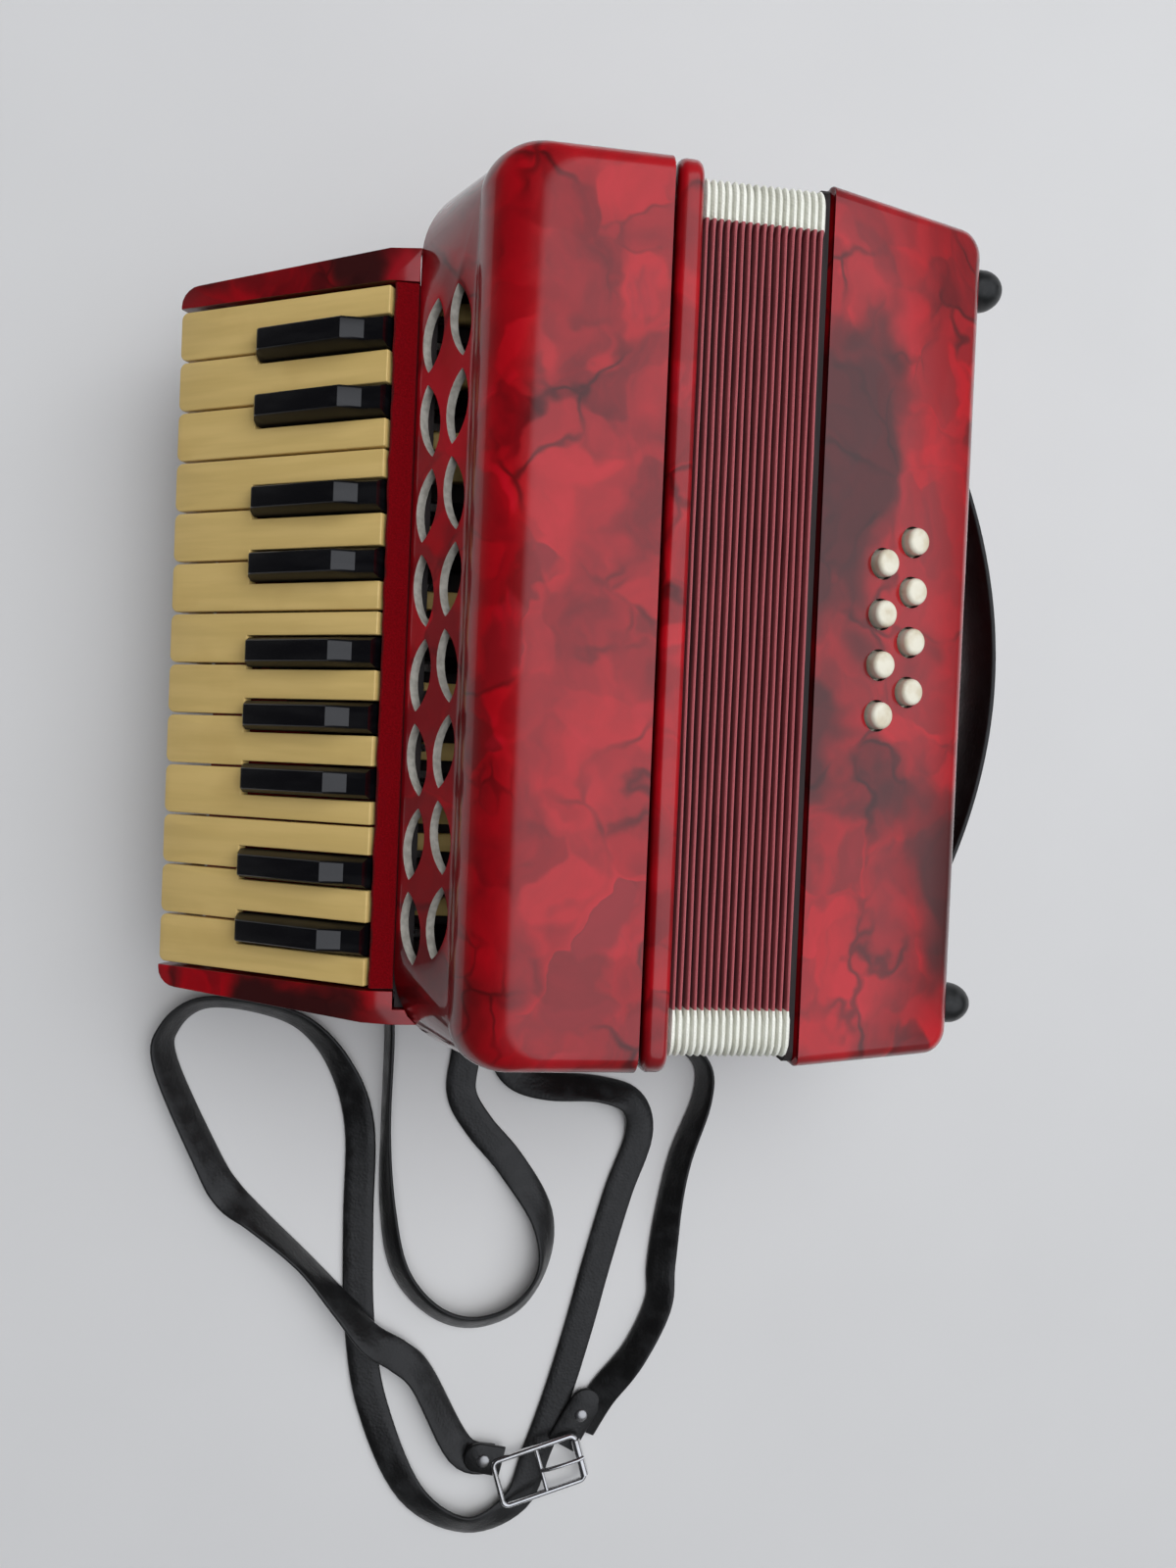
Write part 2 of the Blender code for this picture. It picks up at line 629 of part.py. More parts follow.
def build_white_key(index, material):
    y = white_centre(index)
    outline = white_outline(index)
    cap = make_object(f"white_key_{index + 1:02d}",
                      prism([tilted(a, y + b, -CAP_THICKNESS) for a, b in outline],
                            [tilted(a, y + b, 0) for a, b in outline]), material)
    half = (KEY_PITCH - KEY_PLAY) / 2 - 0.0008
    front = make_object("front", prism(
        [tilted(a, y + b, -KEY_FRONT_DROP) for a, b in
         ((0.0008, -half), (0.0058, -half), (0.0058, half), (0.0008, half))],
        [tilted(a, y + b, -CAP_THICKNESS + 0.001) for a, b in
         ((0.0008, -half), (0.0058, -half), (0.0058, half), (0.0008, half))]), material)
    combine(cap, front, "UNION")
    return finish_key(cap, y, white_aside(index), WHITE_LEVER_WIDTH, WHITE_PALLET_X,
                      WHITE_PALLET_WIDTH, 0.004, material)


def build_black_key(order, after, material):
    centre, shift, front = black_centre(after), black_shift(after), BLACK_START
    y = centre + shift
    rings = []
    for distance, share in BLACK_PROFILE:
        along = front + distance
        top = BLACK_HEIGHT * share
        base = BLACK_BASE_WIDTH / 2
        crown = BLACK_TOP_WIDTH / 2
        rings.append([tilted(along, y - base, -CAP_THICKNESS),
                      tilted(along, y + base, -CAP_THICKNESS),
                      tilted(along, y + base, 0.1 * top), tilted(along, y + crown, 0.9 * top),
                      tilted(along, y + crown - 0.0006, top), tilted(along, y - crown + 0.0006, top),
                      tilted(along, y - crown, 0.9 * top), tilted(along, y - base, 0.1 * top)])
    cap = make_object(f"black_key_{order + 1}", loft(rings), material)
    room = (BLACK_BASE_WIDTH - BLACK_LEVER_WIDTH) / 2 - GAP
    return finish_key(cap, centre, max(shift - room, 0) + min(shift + room, 0), BLACK_LEVER_WIDTH,
                      BLACK_PALLET_X, BLACK_PALLET_WIDTH, front + 0.005, material)


def build_case_clearance(material):
    """Outside of the treble case and its cover, grown by the gap the keyboard keeps from them."""
    levels = [COVER_BOTTOM, COVER_BOTTOM + GRILLE_FOOT_RISE, COVER_BOTTOM + GRILLE_FOOT_RISE + WALL]
    rings = [cover_ring(level, -GAP) for level in levels]
    foot = [(x, y, 0.0) for x, y, _ in rings[0]]
    return make_object("clearance", loft([foot] + rings), material)


def build_keyboard_case(material):
    """Bed under the keys with a cheek at each end."""
    end_x = FOOT_X - GAP
    bed_under = BED_DEPTH + BED_THICKNESS
    along = (end_x - KEY_TIP_X - BED_DEPTH * math.sin(KEY_TILT)) / math.cos(KEY_TILT)
    bed_profile = (key_point(0.001, -BED_DEPTH), key_point(along, -BED_DEPTH),
                   (end_x, 0.060), key_point(0.060, -bed_under), key_point(0.004, -bed_under),
                   key_point(0.001, -bed_under + 0.002))
    inner = HALF_KEYBOARD + CHEEK_CLEARANCE
    case = make_object("keyboard_case",
                       side_slab(bed_profile, KEYBOARD_CENTRE_Y - inner - 0.003,
                                 KEYBOARD_CENTRE_Y + inner + 0.003), material)
    foot_top = COVER_BOTTOM + GRILLE_FOOT_RISE
    root_x, past_post = end_x + CHEEK_REACH, POST_OUTER + GAP - inner
    cheek_profile = (key_point(0, 0.0006), key_point(KEY_LENGTH, 0.0006), (end_x, foot_top),
                     (root_x, foot_top), (root_x, 0.060), (end_x, 0.060),
                     key_point(0.060, -bed_under), key_point(0.005, -bed_under),
                     key_point(0, -bed_under + 0.005))
    for side in (-1, 1):
        tip = KEY_TIP_X
        r = CHEEK_TIP - 0.001
        plan = ([(end_x, 0), (end_x, past_post), (root_x + 0.001, past_post),
                 (root_x + 0.001, CHEEK_ROOT), (end_x, CHEEK_ROOT), (tip + r, CHEEK_TIP)]
                + arc((tip + r, CHEEK_TIP - r), r, 90, 180, 5)[1:] + [(tip, 0)])
        plan = [(x, KEYBOARD_CENTRE_Y + side * (inner + y)) for x, y in plan]
        block = make_object("block", slab(plan, 0.0, BODY_DEPTH), material)
        y_low, y_high = sorted((KEYBOARD_CENTRE_Y + side * (inner - 0.001),
                                KEYBOARD_CENTRE_Y + side * (inner + 2 * CHEEK_ROOT)))
        cheek = make_object("cheek", side_slab(cheek_profile, y_low, y_high), material)
        combine(cheek, block, "INTERSECT")
        combine(case, cheek, "UNION")
    return combine(case, build_case_clearance(material), "DIFFERENCE")


def build_key_rail(material):
    """Bridge over the levers; its two posts hold the key axle."""
    x0, x1 = FOOT_X - RAIL_FRONT, FOOT_X + RAIL_BACK
    step = FOOT_X + 0.0004
    near = HALF_KEYBOARD + CHEEK_CLEARANCE - GAP
    plan = [(x0, -near), (step, -near), (step, -POST_OUTER), (x1, -POST_OUTER),
            (x1, POST_OUTER), (step, POST_OUTER), (step, near), (x0, near)]
    plan = [(x, KEYBOARD_CENTRE_Y + y) for x, y in plan]
    rail = make_object("key_rail", slab(plan, RAIL_BOTTOM, RAIL_TOP), material)
    for side in (-1, 1):
        y_low, y_high = sorted((KEYBOARD_CENTRE_Y + side * POST_INNER,
                                KEYBOARD_CENTRE_Y + side * POST_OUTER))
        post = make_object("post", box((step, y_low, SOUNDBOARD_TOP + GAP),
                                       (x1, y_high, RAIL_TOP - 0.0005)), material)
        combine(rail, post, "UNION")
    length = 2 * POST_OUTER + 0.004
    drill = make_object("drill", cylinder((AXLE[0], KEYBOARD_CENTRE_Y - length / 2, AXLE[1]),
                                          (0, 1, 0), length, AXLE_RADIUS + AXLE_CLEARANCE, 10),
                        material)
    return combine(rail, drill, "DIFFERENCE")


def build_felt_strip(material):
    x0 = FOOT_X - RAIL_FRONT - 0.0012
    low = RAIL_TOP + GAP
    return make_object("felt_strip",
                       box((x0, KEYBOARD_CENTRE_Y - HALF_KEYBOARD, low),
                           (FOOT_X - GAP, KEYBOARD_CENTRE_Y + HALF_KEYBOARD + CHEEK_CLEARANCE / 2,
                            low + FELT_THICKNESS)), material)


def build_key_axle(material):
    length = 2 * POST_OUTER - 0.0006
    return make_object("key_axle", cylinder((AXLE[0], KEYBOARD_CENTRE_Y - length / 2, AXLE[1]),
                                            (0, 1, 0), length, AXLE_RADIUS, 10), material)


def build_spring_comb(material):
    """One leaf spring for each lever, on a strip under the rail's inner edge."""
    top = RAIL_BOTTOM - GAP
    x1 = FOOT_X + RAIL_BACK
    x0 = x1 - SPRING_LENGTH - 0.001
    tip = x1 + SPRING_LENGTH
    centres = sorted([white_centre(i) for i in range(WHITE_KEYS)]
                     + [black_centre(i) for i in BLACK_AFTER])
    half = SPRING_WIDTH / 2
    start, end = KEYBOARD_CENTRE_Y - HALF_KEYBOARD, KEYBOARD_CENTRE_Y + HALF_KEYBOARD
    outline = [(x0, start), (x1, start)]
    for y in centres:
        outline += [(x1, y - half), (tip, y - half), (tip, y + half), (x1, y + half)]
    outline += [(x1, end), (x0, end)]

    def drop(x):
        return 0.0010 if x > x1 + 0.001 else 0.0

    return make_object("key_spring_comb",
                       prism([(x, y, top - SPRING_STRIP - drop(x)) for x, y in outline],
                             [(x, y, top - drop(x)) for x, y in outline]), material)


# ---- bellows -----------------------------------------------------------------------------

def bellows_ring(x, inset):
    half = BELLOWS_HEIGHT / 2 - inset
    low = BELLOWS_FRONT_STEP + inset
    high = BODY_DEPTH - BELLOWS_FRONT_STEP - inset
    c = BELLOWS_CHAMFER
    return [(x, y, z) for y, z in
            ((-half + c, low), (half - c, low), (half, low + c), (half, high - c),
             (half - c, high), (-half + c, high), (-half, high - c), (-half, low + c))]


def build_bellows(material):
    stations = 2 * FOLDS + 1
    outer, inner = [], []
    for i in range(stations):
        x = BELLOWS_LEFT + BELLOWS_LENGTH * i / (stations - 1)
        depth = 0.0 if i % 2 else FOLD_DEPTH
        outer.append(bellows_ring(x, depth))
        inner.append(bellows_ring(x, depth + FOLD_SKIN))
    return make_object("bellows", loft(outer + list(reversed(inner)), loop=True), material)


# ---- bass side ---------------------------------------------------------------------------

def bass_front(x):
    return BASS_TOP - (x - BASS_LEFT) * math.tan(BASS_SLOPE)


def build_bass_frame(material):
    """Board at the bellows' end, with air holes behind the reed block."""
    half = BASS_LENGTH / 2 - 0.0015
    low, high = 0.0015, BASS_TOP - 0.0015
    outline = rounded_outline((-half, low), (half, high), (0.004,) * 4, 3)
    rings = [[(x, y, z) for y, z in outline]
             for x in (BASS_FRAME_LEFT, BASS_FRAME_LEFT + BASS_FRAME_THICKNESS)]
    board = make_object("bass_frame", loft(rings), material)
    holes = bmesh.new()
    for i in range(AIR_HOLES):
        y = (i - (AIR_HOLES - 1) / 2) * AIR_HOLE_PITCH
        corners = [(y + a, AIR_HOLE_HEIGHT + b) for a, b in rectangle(0.005, 0.008)]
        add_extrusion(holes, [(BASS_FRAME_LEFT - WALL, *corner) for corner in corners],
                      [(BASS_LEFT + WALL, *corner) for corner in corners])
    return combine(board, make_object("holes", holes, material), "DIFFERENCE")


def bass_ring(inset, drop, wall=0.0):
    half = BASS_LENGTH / 2 - inset
    outer_r = max(BASS_CORNER_RADIUS - inset, 0.001)
    inner_r = max(0.0016 - inset, 0.0006)
    outline = rounded_outline((BASS_LEFT + min(inset, 0.0012 + wall), -half),
                              (BASS_RIGHT - inset, half), (inner_r, outer_r, outer_r, inner_r))
    return [(x, y, bass_front(x) - drop) for x, y in outline]


def flat_ring(ring, z):
    return [(x, y, z) for x, y, _ in ring]


def button_places():
    """Centres of the buttons on the sloped front, in order down each column."""
    places = []
    for along, shift in BUTTON_COLUMNS:
        x = BASS_LEFT + along
        for row in range(BUTTONS_PER_COLUMN):
            y = shift + ((BUTTONS_PER_COLUMN - 1) / 2 - row) * BUTTON_PITCH
            places.append(Vector((x, y, bass_front(x))))
    return places


def build_bass_case(material):
    r = BASS_EDGE_RADIUS
    base = bass_ring(0, 0)
    rings = [flat_ring(base, 0.0)]
    for angle in (0, 30, 60, 90):
        a = math.radians(angle)
        rings.append(bass_ring(r * (1 - math.cos(a)), r * (1 - math.sin(a))))
    hollow = [flat_ring(bass_ring(BASS_WALL, 0, BASS_WALL), 0.0),
              bass_ring(BASS_WALL, BASS_WALL + r, BASS_WALL),
              bass_ring(BASS_WALL + 0.3 * r, BASS_WALL + 0.3 * r, BASS_WALL),
              bass_ring(BASS_WALL + r, BASS_WALL, BASS_WALL)]
    case = make_object("bass_case", loft(list(reversed(hollow)) + rings), material)
    window = make_object("window", box((BASS_LEFT - WALL, -BASS_LENGTH / 2 + 0.008, 0.008),
                                       (BASS_LEFT + 2.5 * WALL, BASS_LENGTH / 2 - 0.008, 0.120)),
                         material)
    combine(case, window, "DIFFERENCE")
    drills = bmesh.new()
    for place in button_places():
        add_part(drills, cylinder(place - BASS_NORMAL * 2 * WALL, BASS_NORMAL, 3 * WALL,
                                  BUTTON_RADIUS + BUTTON_CLEARANCE))
    combine(case, make_object("drills", drills, material), "DIFFERENCE")
    y, z = AIR_BUTTON_PLACE
    drill = make_object("drill", cylinder((BASS_RIGHT - 2 * WALL, y, z), ACROSS_X, 3 * WALL,
                                          AIR_BUTTON_RADIUS + BUTTON_CLEARANCE), material)
    return combine(case, drill, "DIFFERENCE")


def build_bass_back_plate(material):
    inset = BASS_WALL + 0.0004
    half = BASS_LENGTH / 2 - inset
    outline = rounded_outline((BASS_LEFT + inset + 0.001, -half), (BASS_RIGHT - inset, half),
                              (0.001, BASS_CORNER_RADIUS - BASS_WALL, BASS_CORNER_RADIUS - BASS_WALL,
                               0.001))
    return make_object("bass_back_plate", slab(outline, 0.0, BASS_WALL), material)


def build_bass_reed_block(material):
    root, tip = BASS_FRAME_LEFT - GAP, BASS_FRAME_LEFT - BASS_REED_REACH
    profile = ((tip, BASS_REED_TIP[0]), (root, BASS_REED_ROOT[0]), (root, BASS_REED_ROOT[1]),
               (tip, BASS_REED_TIP[1]))
    half = BASS_REED_LENGTH / 2
    return make_object("bass_reed_block", side_slab(profile, -half, half), material)


def build_button(order, place, material):
    r = BUTTON_RADIUS
    below = BASS_WALL + 0.0008
    profile = ((-below - STEM_LENGTH, STEM_RADIUS), (-below - COLLAR_THICKNESS, STEM_RADIUS),
               (-below - COLLAR_THICKNESS, COLLAR_RADIUS), (-below, COLLAR_RADIUS), (-below, r),
               (BUTTON_PROUD - 0.001, r), (BUTTON_PROUD - 0.0003, r - 0.0004),
               (BUTTON_PROUD, r - 0.0012))
    button = make_object(f"bass_button_{order + 1}", turned(place, BASS_NORMAL, profile), material)
    button.data.transform(Matrix.Translation(-place))
    button.location = place
    return button


def build_button_guide(material):
    """Board under the front with a hole for each stem, on four posts."""
    places = button_places()
    centre = sum(places, Vector()) / len(places)
    down = Vector((math.cos(BASS_SLOPE), 0, -math.sin(BASS_SLOPE)))
    side = Vector((0, 1, 0))
    middle = centre - BASS_NORMAL * GUIDE_DEPTH

    def block(half_down, half_side, low, high, shift=(0, 0)):
        base = middle + down * shift[0] + side * shift[1]
        corners = [base + down * a + side * b for a, b in rectangle(half_down, half_side)]
        return prism([c + BASS_NORMAL * low for c in corners],
                     [c + BASS_NORMAL * high for c in corners])

    reach = GUIDE_DEPTH - BASS_WALL - GAP
    guide = make_object("button_guide", block(*GUIDE_HALF, -GUIDE_THICKNESS, 0), material)
    for shift in rectangle(*GUIDE_POSTS):
        post = block(GUIDE_POST_HALF, GUIDE_POST_HALF, -GUIDE_THICKNESS / 2, reach, shift)
        combine(guide, make_object("post", post, material), "UNION")
    drills = bmesh.new()
    for place in places:
        add_part(drills, cylinder(place - BASS_NORMAL * (GUIDE_DEPTH + 2 * GUIDE_THICKNESS),
                                  BASS_NORMAL, 4 * GUIDE_THICKNESS,
                                  STEM_RADIUS + BUTTON_CLEARANCE, 10))
    return combine(guide, make_object("drills", drills, material), "DIFFERENCE")


def build_foot(name, y, z, material):
    start = (BASS_RIGHT + GAP, y, z)
    profile = [(0.0, FOOT_RADIUS)]
    for i in range(1, 5):
        angle = math.pi / 2 * i / 4.6
        profile.append((FOOT_HEIGHT * (0.25 + 0.75 * math.sin(angle)), FOOT_RADIUS * math.cos(angle)))
    return make_object(name, turned(start, ACROSS_X, profile, 16), material)


def build_hand_strap(material):
    centre_y, centre_z = HAND_STRAP_CENTRE
    steps = 16
    half = HAND_STRAP_SPAN / 2
    bowed = half - ANCHOR_LENGTH
    stations = [-half] + [bowed * (2 * i / steps - 1) for i in range(steps + 1)] + [half]
    outer, inner = [], []
    for along in stations:
        rise = HAND_STRAP_BOW * max(0.0, 1 - (along / bowed) ** 2)
        x = BASS_RIGHT + GAP + rise
        y = centre_y + along
        inner.append((x, y))
        outer.append((x + HAND_STRAP_THICKNESS, y))
    outline = inner + list(reversed(outer))
    return make_object("hand_strap", slab(outline, centre_z - HAND_STRAP_WIDTH / 2,
                                          centre_z + HAND_STRAP_WIDTH / 2), material)


def build_strap_anchor(name, side, material):
    """Bent plate: one leg on the end wall, the other over the strap's flat end."""
    centre_y, centre_z = HAND_STRAP_CENTRE
    strap_end = centre_y + side * HAND_STRAP_SPAN / 2
    wall_x = BASS_RIGHT + GAP
    over_x = wall_x + HAND_STRAP_THICKNESS + GAP
    top_x = over_x + ANCHOR_THICKNESS
    inner = strap_end - side * (ANCHOR_LENGTH - 0.002)
    leg = strap_end + side * GAP
    outer = leg + side * 0.004
    profile = ((wall_x, leg), (over_x, leg), (over_x, inner), (top_x, inner), (top_x, outer),
               (wall_x, outer))
    half = HAND_STRAP_WIDTH / 2 + 0.001
    return make_object(name, slab(profile, centre_z - half, centre_z + half), material)


def build_air_button(material):
    y, z = AIR_BUTTON_PLACE
    start = Vector((BASS_RIGHT, y, z))
    below = BASS_WALL + 0.0008
    r = AIR_BUTTON_RADIUS
    profile = ((-below - 0.012, STEM_RADIUS), (-below - COLLAR_THICKNESS, STEM_RADIUS),
               (-below - COLLAR_THICKNESS, COLLAR_RADIUS + 0.0005), (-below, COLLAR_RADIUS + 0.0005),
               (-below, r), (AIR_BUTTON_PROUD - 0.001, r), (AIR_BUTTON_PROUD, r - 0.001))
    button = make_object("air_button", turned(start, ACROSS_X, profile), material)
    button.data.transform(Matrix.Translation(-start))
    button.location = start
    return button


# ---- shoulder straps ---------------------------------------------------------------------

def smooth_route(route, steps):
    """Catmull-Rom curve through the route's rows."""
    rows = [Vector(row) for row in route]
    points = []
    for i in range(len(rows) - 1):
        before = rows[max(i - 1, 0)]
        after = rows[min(i + 2, len(rows) - 1)]
        for k in range(steps):
            t = k / steps
            points.append(0.5 * (2 * rows[i] + (rows[i + 1] - before) * t
                                 + (2 * before - 5 * rows[i] + 4 * rows[i + 1] - after) * t ** 2
                                 + (3 * rows[i] - before - 3 * rows[i + 1] + after) * t ** 3))
    return points + [rows[-1]]


def build_shoulder_strap(name, route, material):
    points = smooth_route(route, STRAP_STEPS)
    rings = []
    for i, (x, y, turn, lift) in enumerate(points):
        before = points[max(i - 1, 0)]
        after = points[min(i + 1, len(points) - 1)]
        heading = Vector((after[0] - before[0], after[1] - before[1], 0)).normalized()
        side = Vector((-heading.y, heading.x, 0))
        angle = math.radians(turn)
        across = side * math.cos(angle) + Vector((0, 0, math.sin(angle)))
        through = heading.cross(across)
        half_w, half_t = STRAP_WIDTH / 2, STRAP_THICKNESS / 2
        height = half_w * abs(math.sin(angle)) + half_t * abs(math.cos(angle)) + GAP / 2
        centre = Vector((x / 1000, y / 1000 + ROUTE_SHIFT, height + max(lift, 0) / 1000))
        rings.append([centre + across * a * half_w + through * b * half_t
                      for a, b in ((-1, -1), (1, -1), (1, 1), (-1, 1))])
    return make_object(name, loft(rings), material)


def build_buckle(material):
    """Frame of round wire round the strap, with a prong across it."""
    x, y = BUCKLE_CENTRE
    half_l, half_w = BUCKLE_LENGTH / 2, BUCKLE_WIDTH / 2
    outline = rounded_outline((-half_l, -half_w), (half_l, half_w), (BUCKLE_CORNER,) * 4, 3)
    rings = []
    count = len(outline)
    for i, (a, b) in enumerate(outline):
        before, after = outline[i - 1], outline[(i + 1) % count]
        heading = Vector((after[0] - before[0], after[1] - before[1], 0)).normalized()
        side = Vector((-heading.y, heading.x, 0))
        rings.append([Vector((a, b, 0)) + side * BUCKLE_WIRE * math.cos(math.pi * k / 4)
                      + Vector((0, 0, BUCKLE_WIRE * math.sin(math.pi * k / 4))) for k in range(8)])
    frame = make_object("buckle", loft(rings, loop=True), material)
    prong = make_object("prong", wire(((0.001, -half_w - 0.0006, 0.0002), (0.001, 0, 0.0012),
                                       (0.001, half_w + 0.0006, 0.0002)), 0.0009), material)
    combine(frame, prong, "UNION")
    frame.data.transform(Matrix.Translation((x, y + ROUTE_SHIFT, BUCKLE_HEIGHT))
                         @ Matrix.Rotation(BUCKLE_TURN, 4, "Z"))
    return frame


def build_strap_bracket(name, x, half, material):
    """Plate on the end wall with a wire loop that the strap ends are sewn round."""
    y = -BODY_LENGTH / 2 - GAP
    top = BRACKET_BASE + BRACKET_HEIGHT
    plate = make_object(name, box((x - half, y - BRACKET_THICKNESS, BRACKET_BASE),
                                  (x + half, y, top)), material)
    low, reach, leg = BRACKET_WIRE_LOW, y - BRACKET_REACH, half - BRACKET_WIRE
    middle = (BRACKET_BASE + top) / 2
    loop = [(-leg, y - BRACKET_THICKNESS / 2, middle), (-leg, y - 0.005, middle - 0.0015),
            (-leg, reach + 0.002, low), (-leg + 0.002, reach, low)]
    loop += [(-a, b, c) for a, b, c in reversed(loop)]
    loop = [(x + a, b, c) for a, b, c in loop]
    return combine(plate, make_object("loop", wire(loop, BRACKET_WIRE), material), "UNION")


def build_all():
    clear_scene()
    pearl = make_material("red_pearloid", (0.50, 0.012, 0.03), 0.15)
    ivory = make_material("ivory_plastic", (0.72, 0.58, 0.33), 0.30)
    ebony = make_material("black_plastic", (0.012, 0.012, 0.012), 0.20)
    cream = make_material("cream_plastic", (0.80, 0.78, 0.66), 0.35)
    felt = make_material("red_felt", (0.35, 0.004, 0.02), 0.95)
    wood = make_material("pale_wood", (0.55, 0.36, 0.18), 0.60)
    cloth = make_material("burgundy_cloth", (0.18, 0.03, 0.04), 0.70)
    leather = make_material("black_leather", (0.02, 0.02, 0.022), 0.55)
    rubber = make_material("black_rubber", (0.02, 0.022, 0.022), 0.45)
    steel = make_material("steel", (0.60, 0.60, 0.60), 0.30, 1.0)

    build_treble_body(pearl)
    build_treble_flange(pearl)
    build_treble_soundboard(wood)
    build_treble_reed_block(wood)
    build_treble_cover(pearl)
    build_keyboard_case(pearl)
    build_key_rail(wood)
    build_felt_strip(felt)
    build_key_axle(steel)
    build_spring_comb(steel)
    for index in range(WHITE_KEYS):
        build_white_key(index, ivory)
    for order, after in enumerate(BLACK_AFTER):
        build_black_key(order, after, ebony)
    build_bellows(cloth)
    build_bass_frame(ebony)
    build_bass_case(pearl)
    build_bass_back_plate(pearl)
    build_bass_reed_block(wood)
    for order, place in enumerate(button_places()):
        build_button(order, place, cream)
    build_button_guide(wood)
    foot_y = BASS_LENGTH / 2 - FOOT_INSET
    for name, side, z in (("foot_high_front", 1, FOOT_FRONT_Z), ("foot_low_front", -1, FOOT_FRONT_Z),
                          ("foot_high_back", 1, FOOT_BACK_Z), ("foot_low_back", -1, FOOT_BACK_Z)):
        build_foot(name, side * foot_y, z, rubber)
    build_hand_strap(leather)
    build_strap_anchor("strap_anchor_high", 1, steel)
    build_strap_anchor("strap_anchor_low", -1, steel)
    build_air_button(cream)
    build_shoulder_strap("shoulder_strap_long", LONG_STRAP_ROUTE, leather)
    build_shoulder_strap("shoulder_strap_loop", LOOP_STRAP_ROUTE, leather)
    build_shoulder_strap("shoulder_strap_short", SHORT_STRAP_ROUTE, leather)
    build_buckle(steel)
    for name, (x, half) in zip(("strap_bracket_wide", "strap_bracket_narrow"), STRAP_BRACKETS):
        build_strap_bracket(name, x, half, steel)


build_all()
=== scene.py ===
import math

import bmesh
import bpy
from mathutils import Matrix, Vector, noise


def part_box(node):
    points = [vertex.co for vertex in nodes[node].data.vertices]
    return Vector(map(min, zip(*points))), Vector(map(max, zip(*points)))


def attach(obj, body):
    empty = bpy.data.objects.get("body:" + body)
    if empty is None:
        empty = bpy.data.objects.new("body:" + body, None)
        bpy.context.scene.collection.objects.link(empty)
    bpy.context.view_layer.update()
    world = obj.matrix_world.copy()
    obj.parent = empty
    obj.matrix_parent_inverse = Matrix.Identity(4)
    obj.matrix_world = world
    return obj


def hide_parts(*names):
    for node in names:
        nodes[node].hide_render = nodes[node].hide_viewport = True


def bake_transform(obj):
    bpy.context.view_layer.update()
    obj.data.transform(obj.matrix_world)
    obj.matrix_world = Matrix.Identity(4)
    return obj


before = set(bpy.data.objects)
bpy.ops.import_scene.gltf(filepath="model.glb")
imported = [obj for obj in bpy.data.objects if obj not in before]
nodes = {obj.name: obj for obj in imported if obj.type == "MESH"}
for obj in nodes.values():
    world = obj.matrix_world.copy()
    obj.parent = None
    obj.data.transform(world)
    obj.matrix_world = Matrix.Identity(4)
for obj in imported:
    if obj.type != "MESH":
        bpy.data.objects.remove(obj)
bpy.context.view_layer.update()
print("frame loaded:", len(nodes), "nodes")


# Node trees: one wrapper for sockets, one for trees, used for finishes and for geometry
class Value:
    def __init__(self, sheet, socket):
        self.sheet, self.socket = sheet, socket

    def work(self, operation, other=0.0, swapped=False):
        pair = [other, self] if swapped else [self, other]
        return self.sheet.add("ShaderNodeMath", {"operation": operation}, pair)

    def __add__(self, other):
        return self.work("ADD", other)

    def __sub__(self, other):
        return self.work("SUBTRACT", other)

    def __mul__(self, other):
        return self.work("MULTIPLY", other)

    def __truediv__(self, other):
        return self.work("DIVIDE", other)

    def __rsub__(self, other):
        return self.work("SUBTRACT", other, True)

    __radd__, __rmul__ = __add__, __mul__


class Sheet:
    def __init__(self, tree):
        self.tree = tree

    def add(self, kind, settings=None, values=(), output=0):
        node = self.tree.nodes.new(kind)
        for key, setting in (settings or {}).items():
            if key == "stops":
                while len(node.color_ramp.elements) < len(setting):
                    node.color_ramp.elements.new(0.5)
                for element, (at, colour) in zip(node.color_ramp.elements, setting):
                    element.position, element.color = at, (*colour, 1)
            else:
                setattr(node, key, setting)
        pairs = values.items() if isinstance(values, dict) else enumerate(values)
        for key, value in pairs:
            if isinstance(value, Value):
                self.tree.links.new(value.socket, node.inputs[key])
            elif value is not None:
                node.inputs[key].default_value = value
        return Value(self, node.outputs[output])

    def level(self, value, low, high, bottom=0.0, top=1.0):  # clamped ramp between two values
        return self.add("ShaderNodeMapRange", {"interpolation_type": "SMOOTHSTEP"},
                        [value, low, high, bottom, top])

    def vector(self, operation, *values):
        return self.add("ShaderNodeVectorMath", {"operation": operation}, values)

    def blendColours(self, share, first, second):
        values = {0: share}
        for key, colour in ((6, first), (7, second)):
            values[key] = (*colour, 1) if isinstance(colour, tuple) else colour
        return self.add("ShaderNodeMix", {"data_type": "RGBA"}, values, 2)

    def speckle(self, place, scale, detail=2.0, stretch=None, rough=0.5):
        if stretch:
            place = self.vector("MULTIPLY", place, stretch)
        return self.add("ShaderNodeTexNoise", None, {"Vector": place, "Scale": scale,
                                                     "Detail": detail, "Roughness": rough})

    def cells(self, place, scale, feature="F1", output="Distance"):
        return self.add("ShaderNodeTexVoronoi", {"feature": feature},
                        {"Vector": place, "Scale": scale}, output)

    def feed(self, **values):  # links or sets the shader's own sockets
        for key, value in values.items():
            socket = self.shader.inputs[socketNames[key]]
            if isinstance(value, Value):
                self.tree.links.new(value.socket, socket)
            else:
                socket.default_value = (*value, 1) if isinstance(value, tuple) else value

    def bump(self, height, distance, strength=1.0):
        return self.add("ShaderNodeBump", None,
                        {"Height": height, "Distance": distance, "Strength": strength})


socketNames = {"colour": "Base Color", "roughness": "Roughness", "metallic": "Metallic",
               "normal": "Normal", "coat": "Coat Weight", "coatRoughness": "Coat Roughness",
               "sheen": "Sheen Weight", "sheenRoughness": "Sheen Roughness",
               "specular": "Specular IOR Level"}


